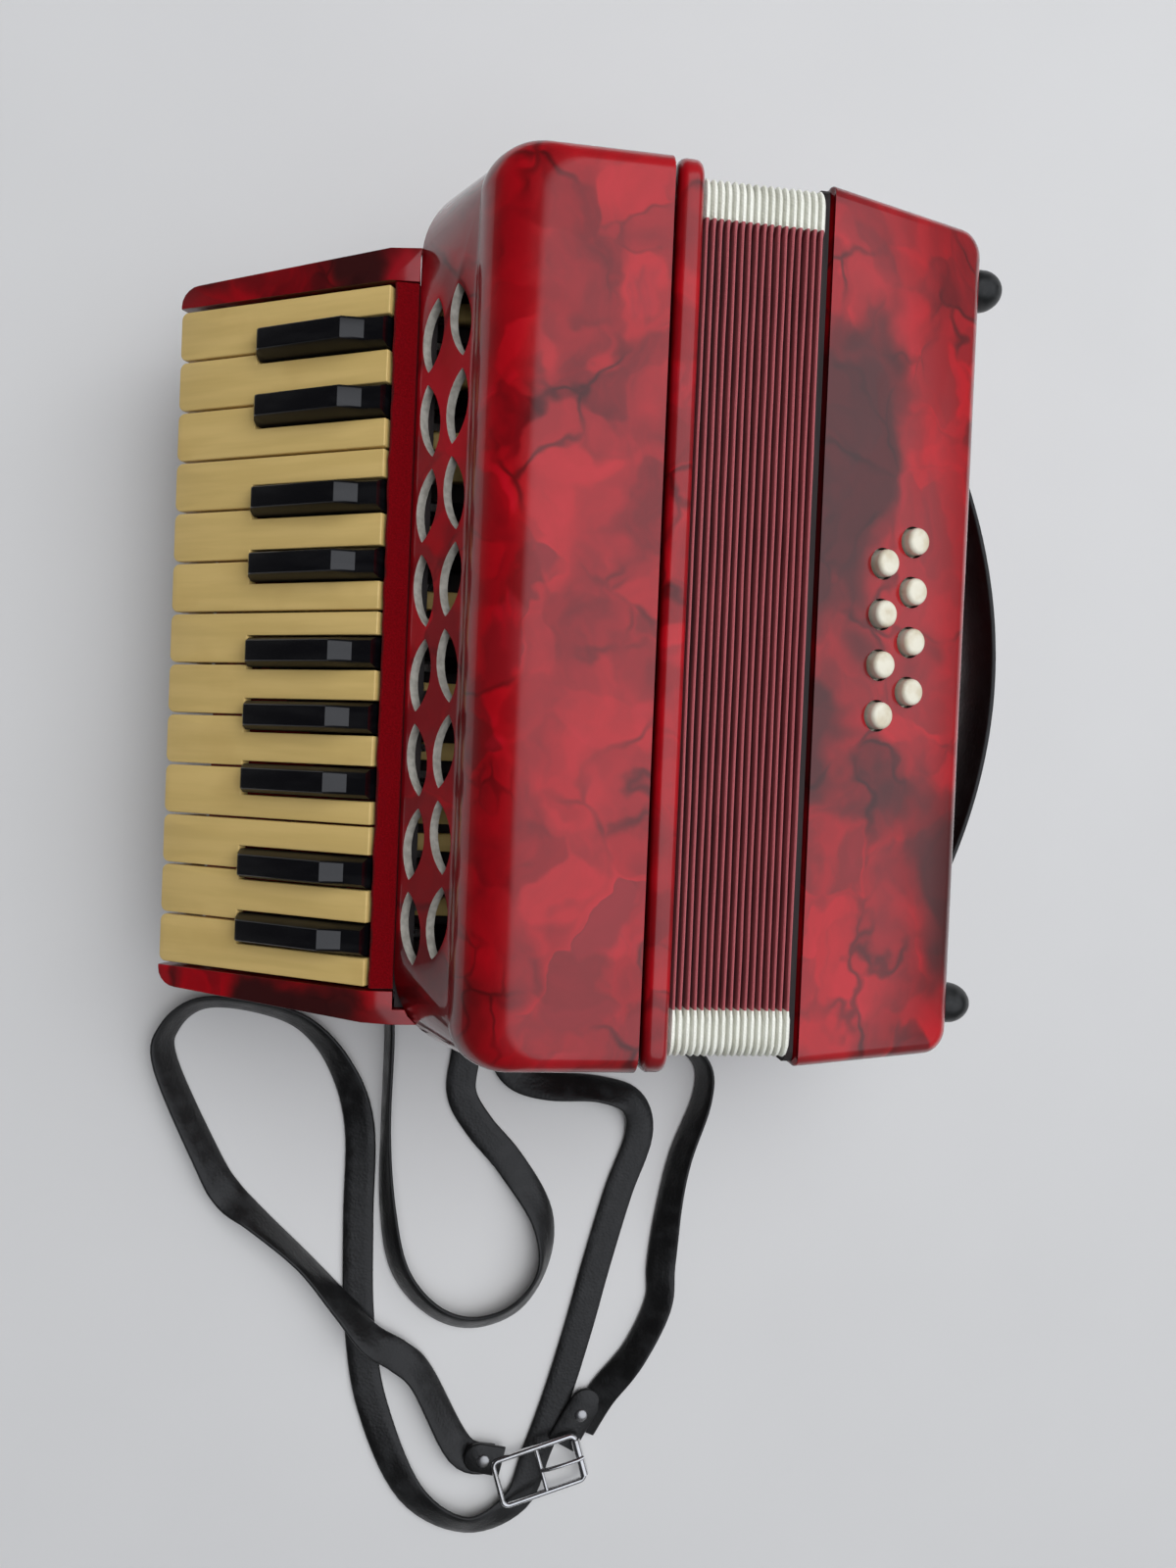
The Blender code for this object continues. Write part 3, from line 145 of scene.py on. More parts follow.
def startFinish(name, **fixed):
    material = bpy.data.materials.new(name)
    material.use_nodes = True
    sheet = Sheet(material.node_tree)
    sheet.shader = material.node_tree.nodes["Principled BSDF"]
    sheet.material = material
    sheet.place = sheet.add("ShaderNodeTexCoord", output="Object")
    sheet.feed(**fixed)
    return sheet


# Finishes
pearl = {"patch": 27, "shard": 58, "soften": 0.20, "drift": 0.045, "driftScale": 26,
         "silk": 34, "silkStretch": (1.0, 0.5, 1.0), "where": 22, "cloud": 12, "lean": 0.10,
         "patchShare": 0.30, "shardShare": 0.26, "silkShare": 0.95, "start": -0.22,
         "veinWidth": 0.05, "crackWidth": 0.07, "crackShare": 0.75, "lineShare": 0.68,
         "deep": (0.070, 0.0004, 0.002), "middle": (0.24, 0.0005, 0.004),
         "bright": (0.44, 0.0006, 0.006), "glow": (0.60, 0.0030, 0.016),
         "vein": (0.016, 0.001, 0.001), "smoke": (0.034, 0.004, 0.004)}


def pearlFinish(name, shift, smoke, clear=0.50):  # celluloid: silky shards, dark veins, clear gloss
    s = startFinish(name, roughness=0.36, specular=0.3, coat=1.0, coatRoughness=0.03)
    place = s.vector("ADD", s.place, shift)
    drift = s.add("ShaderNodeTexNoise", None, {
        "Vector": place, "Scale": pearl["driftScale"], "Detail": 3.5}, "Color")
    bent = s.vector("MULTIPLY_ADD", drift, (pearl["drift"],) * 3, place)
    patch, shard = (s.cells(bent, pearl[size], "SMOOTH_F1", "Color") for size in ("patch", "shard"))
    for tile in (patch, shard):
        tile.socket.node.inputs["Smoothness"].default_value = pearl["soften"]
    patchEdge, shardEdge = (s.cells(bent, pearl[size], "DISTANCE_TO_EDGE")
                            for size in ("patch", "shard"))
    patchTone = s.add("ShaderNodeSeparateColor", None, [patch])
    shardTone = s.add("ShaderNodeSeparateColor", None, [shard])
    silk = s.speckle(bent, pearl["silk"], 4, pearl["silkStretch"], 0.6)
    tone = (patchTone * pearl["patchShare"] + shardTone * pearl["shardShare"]
            + silk * pearl["silkShare"] + pearl["start"])
    colour = s.add("ShaderNodeValToRGB", {"stops": [
        (0.10, pearl["deep"]), (0.36, pearl["middle"]), (0.62, pearl["bright"]),
        (0.92, pearl["glow"])]}, [tone])
    where = s.speckle(place, pearl["where"], 2.5)
    vein = (1 - s.level(patchEdge, 0.0, pearl["veinWidth"])) * s.level(where, 0.46, 0.62)
    crack = ((1 - s.level(shardEdge, 0.0, pearl["crackWidth"])) * s.level(where, 0.44, 0.30)
             * pearl["crackShare"])
    shade = s.level(patchTone, 0.62, 0.80, 0.0, 0.55) * s.level(silk, 0.40, 0.56)
    cloud = s.level(s.speckle(bent, pearl["cloud"], 3), clear, clear + 0.16, 0.0, smoke)
    colour = s.blendColours(cloud.work("MAXIMUM", shade), colour, pearl["smoke"])
    colour = s.blendColours(vein.work("MAXIMUM", crack) * pearl["lineShare"], colour, pearl["vein"])
    # painted shade: faces that turn away from straight up blend toward the deep red, most of all on
    # the sides
    facing = s.add("ShaderNodeNewGeometry", output="Normal")
    upwardForPaintedShade = s.add("ShaderNodeSeparateXYZ", None, [facing], 2)
    colour = s.blendColours(s.level(upwardForPaintedShade, 0.1, 0.9, 0.42, 1.0), pearl["deep"], colour)
    tilt = s.vector("SUBTRACT", shard, (0.5, 0.5, 0.5))
    leaning = s.vector("MULTIPLY_ADD", tilt, (pearl["lean"],) * 3, facing)
    s.feed(colour=colour, normal=s.vector("NORMALIZE", leaning))
    return s.material


def mottledFinish(name, noises, base, layers, roughness, relief=None, **fixed):
    # noises: name to speckle's values; layers over the base: noise, low, high, share, colour
    s = startFinish(name, **fixed)
    fields = {key: s.speckle(s.place, *values) for key, values in noises.items()}
    colour = base
    for key, low, high, share, over in layers:
        colour = s.blendColours(s.level(fields[key], low, high, 0.0, share), colour, over)
    if isinstance(roughness, tuple):
        key, smoothest, roughest = roughness
        roughness = s.level(fields[key], 0.3, 0.7, smoothest, roughest)
    s.feed(colour=colour, roughness=roughness)
    if relief:
        key, distance, strength = relief
        s.feed(normal=s.bump(fields[key], distance, strength))
    return s.material


def ebonyFinish():  # polished on top, dull down the sides
    s = startFinish("blackKeys", specular=0.3, coatRoughness=0.06)
    rub = s.speckle(s.place, 260, 2, (0.2, 1.0, 0.2))
    colour = s.blendColours(s.level(rub, 0.45, 0.75), (0.003, 0.003, 0.004), (0.008, 0.008, 0.009))
    facing = s.add("ShaderNodeNewGeometry", output="Normal")
    sideways = s.add("ShaderNodeSeparateXYZ", None, [facing], 1).work("ABSOLUTE")
    aside = s.level(sideways, 0.45, 0.85)
    s.feed(colour=colour, coat=1 - aside * 0.95, roughness=aside * 0.35 + 0.2,
           normal=s.bump(rub, 0.00002, 0.3))
    return s.material


def woodFinish(name, light, dark, stretch):
    s = startFinish(name, specular=0.35)
    rings = s.speckle(s.place, 120, 4, stretch, 0.6)
    pores = s.speckle(s.place, 700, 2, stretch)
    colour = s.blendColours(s.level(rings, 0.32, 0.68), dark, light)
    colour = s.blendColours(s.level(pores, 0.58, 0.75, 0.0, 0.5), colour, dark)
    s.feed(colour=colour, roughness=s.level(rings, 0.3, 0.7, 0.52, 0.70),
           normal=s.bump(rings + pores, 0.0001, 0.5))
    return s.material


def weave(s, place, threads):  # over-and-under threads as a height, from 0 to 1
    x, y, z = (s.add("ShaderNodeSeparateXYZ", None, [place], k) for k in range(3))
    one = ((y + z) * threads).work("SINE")
    two = ((x + y * 0.5 - z * 0.5) * threads).work("SINE")
    return one * two * 0.5 + 0.5


def foldFinish():  # cloth-covered card: painted light on the ridges, painted shade deep in the folds
    s = startFinish("foldCloth", sheen=0.12, sheenRoughness=0.45, specular=0.35)
    ridge = s.add("ShaderNodeAttribute", {"attribute_name": "ridge"}, output="Fac")
    wearAndShadeNoise = s.speckle(s.place, 65, 3)
    threads = weave(s, s.place, 5200)
    # painted light and shade: ridges lighter, folds darker; the noise breaks up the edge between
    # them and also varies the roughness
    lift = s.level(ridge + (wearAndShadeNoise - 0.5) * 0.25, 0.42, 0.86)
    colour = s.blendColours(lift, (0.12, 0.004, 0.010), (0.46, 0.118, 0.130))
    colour = s.blendColours(threads * 0.22, colour, (0.20, 0.020, 0.028))
    s.feed(colour=colour, roughness=s.level(wearAndShadeNoise, 0.3, 0.7, 0.50, 0.68),
           normal=s.bump(threads, 0.00006, 0.5))
    return s.material


def clothFinish():  # white corner binding
    s = startFinish("whiteBinding", specular=0.3, sheen=0.1)
    threads = weave(s, s.place, 3600)
    soil = s.speckle(s.place, 85, 4)
    ridge = s.add("ShaderNodeAttribute", {"attribute_name": "ridge"}, output="Fac")
    colour = s.blendColours(s.level(soil, 0.42, 0.78), (0.92, 0.925, 0.830), (0.78, 0.78, 0.68))
    # painted shade: the binding darkens toward grey where the ridge value is low, down in the folds
    colour = s.blendColours((1 - s.level(ridge, 0.25, 0.75)) * 0.50, colour, (0.32, 0.32, 0.28))
    s.feed(colour=colour, roughness=0.72, normal=s.bump(threads + soil, 0.00012, 0.6))
    return s.material


def leatherFinish(name, tone, scale=900):
    s = startFinish(name, coat=0.15, coatRoughness=0.3)
    pebble = s.cells(s.place, scale, "SMOOTH_F1")
    crease = s.speckle(s.place, 130, 4)
    colour = s.blendColours(s.level(crease, 0.45, 0.75), (tone * 0.7,) * 3,
                            (tone * 1.7, tone * 1.75, tone * 1.8))
    s.feed(colour=colour, roughness=s.level(crease, 0.3, 0.7, 0.34, 0.52),
           normal=s.bump(pebble + crease, 0.00018, 0.7))
    return s.material


def metalFinish(name, tone, smoothest):
    return mottledFinish(
        name, {"rub": (520, 3, (1.0, 0.25, 1.0)), "spot": (190, 4)}, (tone, tone, tone * 1.01),
        [("spot", 0.5, 0.8, 1.0, (tone * 0.62, tone * 0.60, tone * 0.56))],
        ("rub", smoothest, smoothest + 0.14), ("rub", 0.00002, 0.4), metallic=1.0)


def threadFinish():
    s = startFinish("thread")
    twist = s.speckle(s.place, 2600, 2)
    s.feed(colour=s.blendColours(twist, (0.008, 0.008, 0.009), (0.05, 0.05, 0.052)), roughness=0.7,
           normal=s.bump(twist, 0.0001, 0.6))
    return s.material


pearlTreble = pearlFinish("pearlTreble", (0.0, 0.0, 0.0), 0.55)
pearlFlange = pearlFinish("pearlFlange", (0.31, 0.12, 0.05), 0.5)
pearlBass = pearlFinish("pearlBass", (0.70, 0.33, 0.11), 0.90, 0.45)
pearlKeyboard = pearlFinish("pearlKeyboard", (0.45, 0.37, 0.21), 1.0, 0.42)
ivory = mottledFinish(
    "ivoryKeys", {"grain": (90, 3, (0.25, 3.0, 0.25)), "stain": (38, 3)}, (0.65, 0.465, 0.165),
    [("grain", 0.3, 0.7, 1.0, (0.72, 0.520, 0.195)),
     ("stain", 0.52, 0.75, 0.35, (0.56, 0.375, 0.12))],
    ("stain", 0.30, 0.42), ("grain", 0.00005, 0.4), coat=0.25, coatRoughness=0.2)
cream = mottledFinish(
    "creamButtons", {"stain": (160, 3)}, (0.78, 0.745, 0.610),
    [("stain", 0.4, 0.8, 1.0, (0.60, 0.52, 0.36))], ("stain", 0.28, 0.40),
    coat=0.3, coatRoughness=0.12)
felt = mottledFinish(
    "redFelt", {"fuzz": (1600, 4, None, 0.7), "pile": (240, 3)}, (0.13, 0.0003, 0.002),
    [("fuzz", 0.3, 0.7, 1.0, (0.22, 0.0007, 0.004)),
     ("pile", 0.5, 0.75, 0.4, (0.16, 0.0010, 0.005))],
    0.95, ("fuzz", 0.0004, 0.8), sheen=0.06, sheenRoughness=0.5, specular=0.1)
cutEdge = mottledFinish(  # bare edge of the pierced cover, pale and chalky
    "cutEdge", {"chalk": (420, 4)}, (0.34, 0.32, 0.28),
    [("chalk", 0.3, 0.7, 1.0, (0.50, 0.48, 0.43))], 0.75, ("chalk", 0.00015, 0.5))
rubber = mottledFinish(
    "blackRubber", {"haze": (220, 4)}, (0.006, 0.007, 0.007),
    [("haze", 0.4, 0.7, 1.0, (0.020, 0.021, 0.021))], ("haze", 0.28, 0.46),
    ("haze", 0.00005, 0.5), specular=0.5)
along, across = (2.0, 0.25, 2.0), (0.25, 2.0, 2.0)  # stretch of the wood's grain
leverWood = woodFinish("leverWood", (0.46, 0.250, 0.115), (0.30, 0.150, 0.062), across)
boardWood = woodFinish("boardWood", (0.36, 0.205, 0.100), (0.22, 0.115, 0.052), along)
# near-black board; also used as painted shade in the screw slots, the button holes and on the
# soundboard
darkBoardAndShade = woodFinish("darkBoardAndShade", (0.030, 0.022, 0.022), (0.012, 0.009, 0.009), along)
ebony, foldCloth, binding, thread = ebonyFinish(), foldFinish(), clothFinish(), threadFinish()
leather = leatherFinish("strapLeather", 0.009)
handLeather = leatherFinish("handLeather", 0.008, 700)
chrome, steel = metalFinish("chrome", 0.78, 0.07), metalFinish("steel", 0.52, 0.24)
print("finishes made")


# Mesh helpers
def keep(name, built, *materials, sharp=35):
    bmesh.ops.remove_doubles(built, verts=built.verts, dist=1e-7)
    bmesh.ops.recalc_face_normals(built, faces=built.faces)
    mesh = bpy.data.meshes.new(name)
    built.to_mesh(mesh)
    built.free()
    for material in materials:
        mesh.materials.append(material)
    item = bpy.data.objects.new(name, mesh)
    bpy.context.scene.collection.objects.link(item)
    return smooth(item, sharp)


def smooth(item, sharp=35):
    item.data.shade_smooth()
    item.data.set_sharp_from_angle(angle=math.radians(sharp))
    return item


def settle(item):  # turns live modifiers into a plain mesh
    bpy.context.view_layer.update()
    seen = item.evaluated_get(bpy.context.evaluated_depsgraph_get())
    made = bpy.data.meshes.new_from_object(seen)
    item.modifiers.clear()
    item.data = made
    return item


def soften(item, width, segments=2, angle=40):
    bevel = item.modifiers.new("soften", "BEVEL")
    bevel.width, bevel.segments, bevel.limit_method = width, segments, "ANGLE"
    bevel.angle_limit, bevel.use_clamp_overlap = math.radians(angle), True
    return smooth(settle(item), 50)


def combine(item, other):  # cuts the other shape away
    change = item.modifiers.new("cut", "BOOLEAN")
    change.operation, change.object, change.solver = "DIFFERENCE", other, "EXACT"
    change.material_mode = "TRANSFER"
    settle(item)
    bpy.data.objects.remove(other, do_unlink=True)
    return item


def place(item, body, slot, *replaced):
    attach(item, body)
    if replaced:
        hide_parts(*replaced)
    return item


def joinAll(first, *others):
    merged = bmesh.new()
    materials = []
    for item in (first, *others):
        start = len(merged.faces)
        merged.from_mesh(item.data)
        merged.faces.ensure_lookup_table()
        for face in merged.faces[start:]:
            material = item.data.materials[face.material_index]
            if material not in materials:
                materials.append(material)
            face.material_index = materials.index(material)
    for item in others:
        bpy.data.objects.remove(item, do_unlink=True)
    merged.to_mesh(first.data)
    merged.free()
    first.data.materials.clear()
    for material in materials:
        first.data.materials.append(material)
    return first


def arc(centre, radius, start, end, steps):
    turns = [math.radians(start + (end - start) * i / steps) for i in range(steps + 1)]
    return [(centre[0] + radius * math.cos(t), centre[1] + radius * math.sin(t)) for t in turns]


def roundedOutline(low, high, radii, steps=12):
    (x0, y0), (x1, y1), (a, b, c, d) = low, high, radii
    return (arc((x0 + a, y0 + a), a, 180, 270, steps) + arc((x1 - b, y0 + b), b, 270, 360, steps)
            + arc((x1 - c, y1 - c), c, 0, 90, steps) + arc((x0 + d, y1 - d), d, 90, 180, steps))


def loft(rings, loop=False):
    built = bmesh.new()
    rows = [[built.verts.new(point) for point in ring] for ring in rings]
    count = len(rows[0])
    if not loop:
        built.faces.new(reversed(rows[0]))
        built.faces.new(rows[-1])
    for first, second in list(zip(rows, rows[1:])) + ([(rows[-1], rows[0])] if loop else []):
        for i in range(count):
            j = (i + 1) % count
            built.faces.new((first[i], first[j], second[j], second[i]))
    return built


def gather(parts):  # several closed shapes as one
    whole = bmesh.new()
    for part in parts:
        mesh = bpy.data.meshes.new("part")
        part.to_mesh(mesh)
        part.free()
        whole.from_mesh(mesh)
    return whole


def block(low, high):
    outline = ((low[0], low[1]), (high[0], low[1]), (high[0], high[1]), (low[0], high[1]))
    return loft([[(x, y, z) for x, y in outline] for z in (low[2], high[2])])


def lathe(start, direction, profile, sides=32):
    turn = Vector(direction).to_track_quat("Z", "Y").to_matrix()
    rings = []
    for along, radius in profile:
        ring = [(radius * math.cos(2 * math.pi * i / sides),
                 radius * math.sin(2 * math.pi * i / sides), along) for i in range(sides)]
        rings.append([Vector(start) + turn @ Vector(point) for point in ring])
    return loft(rings)


def wire(points, radius, sides=12, loop=False):
    rings = []
    count = len(points)
    for i, point in enumerate(points):
        before = points[i - 1] if loop or i else points[0]
        after = points[(i + 1) % count] if loop or i < count - 1 else points[-1]
        heading = (Vector(after) - Vector(before)).normalized()
        side = heading.cross(Vector((0, 0, 1)))
        side = side.normalized() if side.length > 1e-4 else Vector((1, 0, 0))
        up = side.cross(heading)
        turns = [2 * math.pi * k / sides for k in range(sides)]
        rings.append([Vector(point) + radius * (side * math.cos(t) + up * math.sin(t))
                      for t in turns])
    return loft(rings, loop=loop)


# Geometry node groups: named inputs, set by identifier before the first evaluation
socketKinds = {float: "NodeSocketFloat", int: "NodeSocketInt",
               bpy.types.Material: "NodeSocketMaterial"}


def startTree(name, defaults):
    tree = bpy.data.node_groups.new(name, "GeometryNodeTree")
    tree.interface.new_socket("Geometry", in_out="INPUT", socket_type="NodeSocketGeometry")
    tree.interface.new_socket("Geometry", in_out="OUTPUT", socket_type="NodeSocketGeometry")
    for key, value in defaults.items():
        kind = next(k for t, k in socketKinds.items() if isinstance(value, t))
        tree.interface.new_socket(key, in_out="INPUT", socket_type=kind)
    sheet = Sheet(tree)
    entry = tree.nodes.new("NodeGroupInput")
    sheet.entry = {socket.name: Value(sheet, socket) for socket in entry.outputs if socket.name}
    return sheet


def finishTree(sheet, geometry):
    whole = sheet.add("GeometryNodeRealizeInstances", None, [geometry])
    sheet.tree.links.new(whole.socket, sheet.tree.nodes.new("NodeGroupOutput").inputs[0])
    return sheet.tree


def grow(name, tree, values, seed=None):  # runs a tree on a mesh and keeps the plain result
    mesh = seed or bpy.data.meshes.new(name)
    item = bpy.data.objects.new(name, mesh)
    bpy.context.scene.collection.objects.link(item)
    modifier = item.modifiers.new("grow", "NODES")
    modifier.node_group = tree
    for socket in tree.interface.items_tree:
        if socket.in_out == "INPUT" and socket.name in values:
            modifier[socket.identifier] = values[socket.name]
    return settle(item)


# Camera, light and floor
shot = {"position": (-0.0514, -0.0476, 0.4988), "turns": (0.0150, 0.1455, -0.0394), "lens": 27.0,
        "sensor": 36.0, "nearest": 0.01}
table = {"side": 6.0, "thick": 0.02, "colour": (0.70, 0.698, 0.69), "hazeScale": 9,
         "hazeTone": 0.94}
lamps = [  # name, position, aim, size, power, colour
    ("overhead", (0.40, 0.45, 1.9), (0.0, -0.02, 0.0), 1.7, 24.0, (0.98, 0.985, 1.0)),
    ("windowSide", (1.7, 0.6, 1.3), (0.0, 0.0, 0.05), 1.1, 7.0, (0.95, 0.97, 1.0)),
    ("farSide", (-1.6, 0.9, 1.2), (0.0, 0.0, 0.05), 1.2, 1.2, (1.0, 0.98, 0.96))]
room = {"lowLeft": (0.07, 0.07, 0.072), "lowRight": (0.17, 0.17, 0.175),
        "highLeft": (0.030, 0.030, 0.033), "highRight": (0.16, 0.162, 0.168),
        "ceiling": (0.90, 0.93, 1.0)}


def setCamera():
    x, y, z = shot["turns"]
    turn = Matrix.Rotation(z, 3, "Z") @ Matrix.Rotation(y, 3, "Y") @ Matrix.Rotation(x, 3, "X")
    camera = bpy.data.objects.new("camera", bpy.data.cameras.new("camera"))
    camera.matrix_world = Matrix.Translation(shot["position"]) @ turn.transposed().to_4x4()
    camera.data.lens, camera.data.sensor_width = shot["lens"], shot["sensor"]
    camera.data.clip_start = shot["nearest"]
    bpy.context.scene.collection.objects.link(camera)
    bpy.context.scene.camera = camera


def setLamps():  # soft panels, kept out of the gloss
    for name, position, aim, size, power, colour in lamps:
        lamp = bpy.data.lights.new(name, "AREA")
        lamp.shape, lamp.size, lamp.energy, lamp.color = "SQUARE", size, power, colour
        item = bpy.data.objects.new(name, lamp)
        heading = (Vector(aim) - Vector(position)).to_track_quat("-Z", "Y")
        item.matrix_world = Matrix.Translation(position) @ heading.to_matrix().to_4x4()
        item.visible_glossy = False
        bpy.context.scene.collection.objects.link(item)


def setTable():
    s = startFinish("paleTable", specular=0.3)
    haze, tone, half = s.speckle(s.place, table["hazeScale"], 3), table["colour"], table["side"] / 2
    s.feed(colour=s.blendColours(haze, tone, tuple(c * table["hazeTone"] for c in tone)),
           roughness=0.55)
    floor = keep("floor", block((-half, -half, -table["thick"]), (half, half, 0)), s.material)


def setRoom():  # dark walls to the left, dim to the right, bright ceiling to the right
    world = bpy.data.worlds.new("room")
    bpy.context.scene.world = world
    world.use_nodes = True
    s = Sheet(world.node_tree)
    way = s.add("ShaderNodeTexCoord")
    across, up = (s.add("ShaderNodeSeparateXYZ", None, [way], k) for k in (0, 2))
    low = s.blendColours(s.level(across, -0.6, 0.4), room["lowLeft"], room["lowRight"])
    high = s.blendColours(s.level(across, -0.5, 0.5), room["highLeft"], room["highRight"])
    walls = s.blendColours(s.level(up, 0.02, 0.25), low, high)
    sky = s.blendColours(s.level(up + across * 0.5, 0.78, 0.92), walls, room["ceiling"])
    background = world.node_tree.nodes["Background"]
    world.node_tree.links.new(sky.socket, background.inputs["Color"])
    background.inputs["Strength"].default_value = 1.0
    bpy.context.scene.view_settings.view_transform = "Standard"


setCamera()
setLamps()
setTable()
setRoom()
print("camera, lamps and floor set")


# Treble case, cover and flange
case = {"left": -0.056, "right": 0.0212, "half": 0.1435, "height": 0.0875, "corner": 0.024,
        "square": 0.0006, "edge": 0.0016, "topEdge": 0.0005, "depth": 0.142}
cover = {"bottom": 0.0920, "right": 0.0203, "wall": 0.0026, "footRise": 0.015, "run": 0.0175,
         "rise": 0.018, "roundRun": 0.0215, "edge": 0.007, "steps": 16, "footEdge": 0.0008,
         "corners": ((0.092, 0.024), (0.107, 0.027), (0.125, 0.014), (0.142, 0.012)),
         "slotLow": 0.085, "slotBefore": 0.005, "slotBehind": 0.010, "slotOver": 0.0003}
grille = {"leaves": 8, "pitch": 0.0275, "length": 0.0238, "width": 0.0092, "lean": 8.0,
          "columns": (0.27, 0.745), "stagger": 0.003, "middle": -0.005, "steps": 14, "point": 0.85}
flange = {"left": 0.0215, "thick": 0.0085, "edge": 0.0030, "corner": 0.008, "land": 0.012,
          "holeCorner": 0.003}
keyboard = {"keys": 13, "pitch": 0.0178, "play": 0.0008, "length": 0.0865, "tilt": 31.0,
            "middle": -0.008, "tipX": -0.140, "tipZ": 0.061, "soundboard": 0.0917,
            "railTop": 0.1045, "slotHalf": 0.1237}
whiteKey = {"tipRound": 0.0026, "cap": 0.004, "drop": 0.016, "skirtIn": 0.0004,
            "skirtRound": 0.0012, "skirtBack": 0.0006, "skirtEnd": 0.0054}
blackKey = {"start": 0.0345, "play": 0.0009, "base": 0.0099, "top": 0.0074, "height": 0.0081,
            # by the white key before it: how far off the joint, in key pitches
            "shift": {1: 0.128, 2: -0.128, 4: 0.128, 5: -0.128, 7: 0.219, 8: 0.0, 9: -0.219,
                      11: 0.128, 12: -0.128},
            "profile": ((0, 0.16), (0.0005, 0.29), (0.0034, 0.745), (0.0041, 0.81),
                        (0.0052, 0.835), (0.0385, 1.0), (0.0451, 0.50), (0.0519, 0.40)),
            # past the crown's half width, share of the height
            "section": ((0.0001, 0.88), (-0.0001, 0.95), (-0.0004, 0.985), (-0.0009, 1))}
lever = {"bottom": 0.013, "white": 0.0060, "black": 0.0050, "armLow": 0.0940, "armHigh": 0.1000,
         "into": 0.001, "topEnd": 0.0015, "footEnd": 0.0005, "topLean": 0.0025, "footLean": 0.004,
         "reach": 0.007, "soft": 0.0003, "gap": 0.0003, "pallet": 0.009, "whitePallet": 0.013,
         "palletFront": 0.006, "palletIn": 0.0008, "cushion": 0.0012, "cushionIn": 0.0002}


def caseRing(inset, z):
    r, sq = case["corner"] - inset, case["square"]
    outline = roundedOutline((case["left"] + inset, inset - case["half"]),
                             (case["right"], case["half"] - inset), (r, sq, sq, r), 16)
    return [(x, y, z) for x, y in outline]


def edgeRound(radius, steps=4):  # (inset, rise) pairs for a quarter-round edge
    turns = [math.pi / 2 * i / steps for i in range(steps + 1)]
    return [(radius * (1 - math.sin(t)), radius * (1 - math.cos(t))) for t in turns]


def makeTrebleCase():
    low = [caseRing(inset, rise) for inset, rise in edgeRound(case["edge"])]
    high = [caseRing(inset, case["height"] - rise)
            for inset, rise in reversed(edgeRound(case["topEdge"], 2))]
    item = keep("trebleCase", loft(low + high), pearlTreble)
    place(item, "treble", "red_pearloid", "treble_body")


def cornerAt(height):  # wide round the foot of the grille, tight at the front
    for (low, wide), (high, tight) in zip(cover["corners"], cover["corners"][1:]):
        if height <= high:
            return wide + (tight - wide) * (height - low) / (high - low)
    return tight


def coverRing(height, inset=0.0, spread=0.0):
    grilleLow = cover["bottom"] + cover["footRise"]
    grilleHigh = grilleLow + cover["rise"]
    left = case["left"]
    if height > grilleHigh:
        share = (height - grilleHigh) / (case["depth"] - grilleHigh)
        left += cover["run"] + cover["roundRun"] * (1 - math.sqrt(max(0.0, 1 - share ** 2)))
    elif height > grilleLow:
        left += cover["run"] * (height - grilleLow) / cover["rise"]
    over = max(0.0, height - (case["depth"] - cover["edge"]))
    drawn = cover["edge"] - math.sqrt(max(0.0, cover["edge"] ** 2 - over ** 2))
    half, sq = case["half"] - drawn - inset - spread, case["square"]
    r = cornerAt(height) - inset - spread
    outline = roundedOutline((left + inset + spread, -half), (cover["right"] - inset, half),
                             (r, sq, sq, r), 16)
    return [(x, y, height - inset) for x, y in outline]


def leafCutters():
    slope = Vector((cover["run"], 0, cover["rise"]))
    normal = Vector((-cover["rise"], 0, cover["run"])).normalized()
    along = [math.cos(math.pi * i / grille["steps"]) for i in range(grille["steps"] + 1)]
    upper = [(a, (1 - a * a) ** grille["point"]) for a in along]
    outline = upper + [(a, -b) for a, b in reversed(upper[1:-1])]
    depth, parts = normal * 2 * cover["wall"], []
    for column, share in enumerate(grille["columns"]):
        for row in range(grille["leaves"]):
            y = (grille["middle"] + (row - (grille["leaves"] - 1) / 2) * grille["pitch"]
                 + (column - 0.5) * grille["stagger"])
            centre = Vector((case["left"], y, cover["bottom"] + cover["footRise"])) + slope * share
            lean = math.radians(grille["lean"]) * (1 if (row + column) % 2 else -1)
            run = Vector((0, 1, 0)) * math.cos(lean) + slope.normalized() * math.sin(lean)
            across = normal.cross(run)
            points = [centre + run * a * grille["length"] / 2 + across * b * grille["width"] / 2
                      for a, b in outline]
            parts.append(loft([[p - depth for p in points], [p + depth for p in points]]))
    return keep("leafCutters", gather(parts), cutEdge)


def makeTrebleCover():
    grilleLow = cover["bottom"] + cover["footRise"]
    grilleHigh = grilleLow + cover["rise"]
    heights = [cover["bottom"] + cover["footEdge"], grilleLow, grilleHigh]
    heights += [grilleHigh + (case["depth"] - grilleHigh)
                * math.sin(math.pi / 2 * i / cover["steps"]) for i in range(1, cover["steps"] + 1)]
    outer = [coverRing(cover["bottom"], 0, cover["footEdge"])] + [coverRing(h) for h in heights]
    inner = [coverRing(h, cover["wall"]) for h in heights[1:]]
    rim = coverRing(cover["bottom"] + cover["wall"], cover["wall"])
    item = keep("trebleCover", loft(list(reversed(inner)) + [rim] + outer), pearlTreble, sharp=50)
    middle, half, left = keyboard["middle"], keyboard["slotHalf"], case["left"]
    top = keyboard["railTop"] + cover["slotOver"]
    slot = block((left - cover["slotBefore"], middle - half, cover["slotLow"]),
                 (left + cover["slotBehind"], middle + half, top))
    combine(item, keep("slot", slot, pearlTreble))
    smooth(combine(item, leafCutters()), 50)
    place(item, "treble", "red_pearloid", "treble_cover")


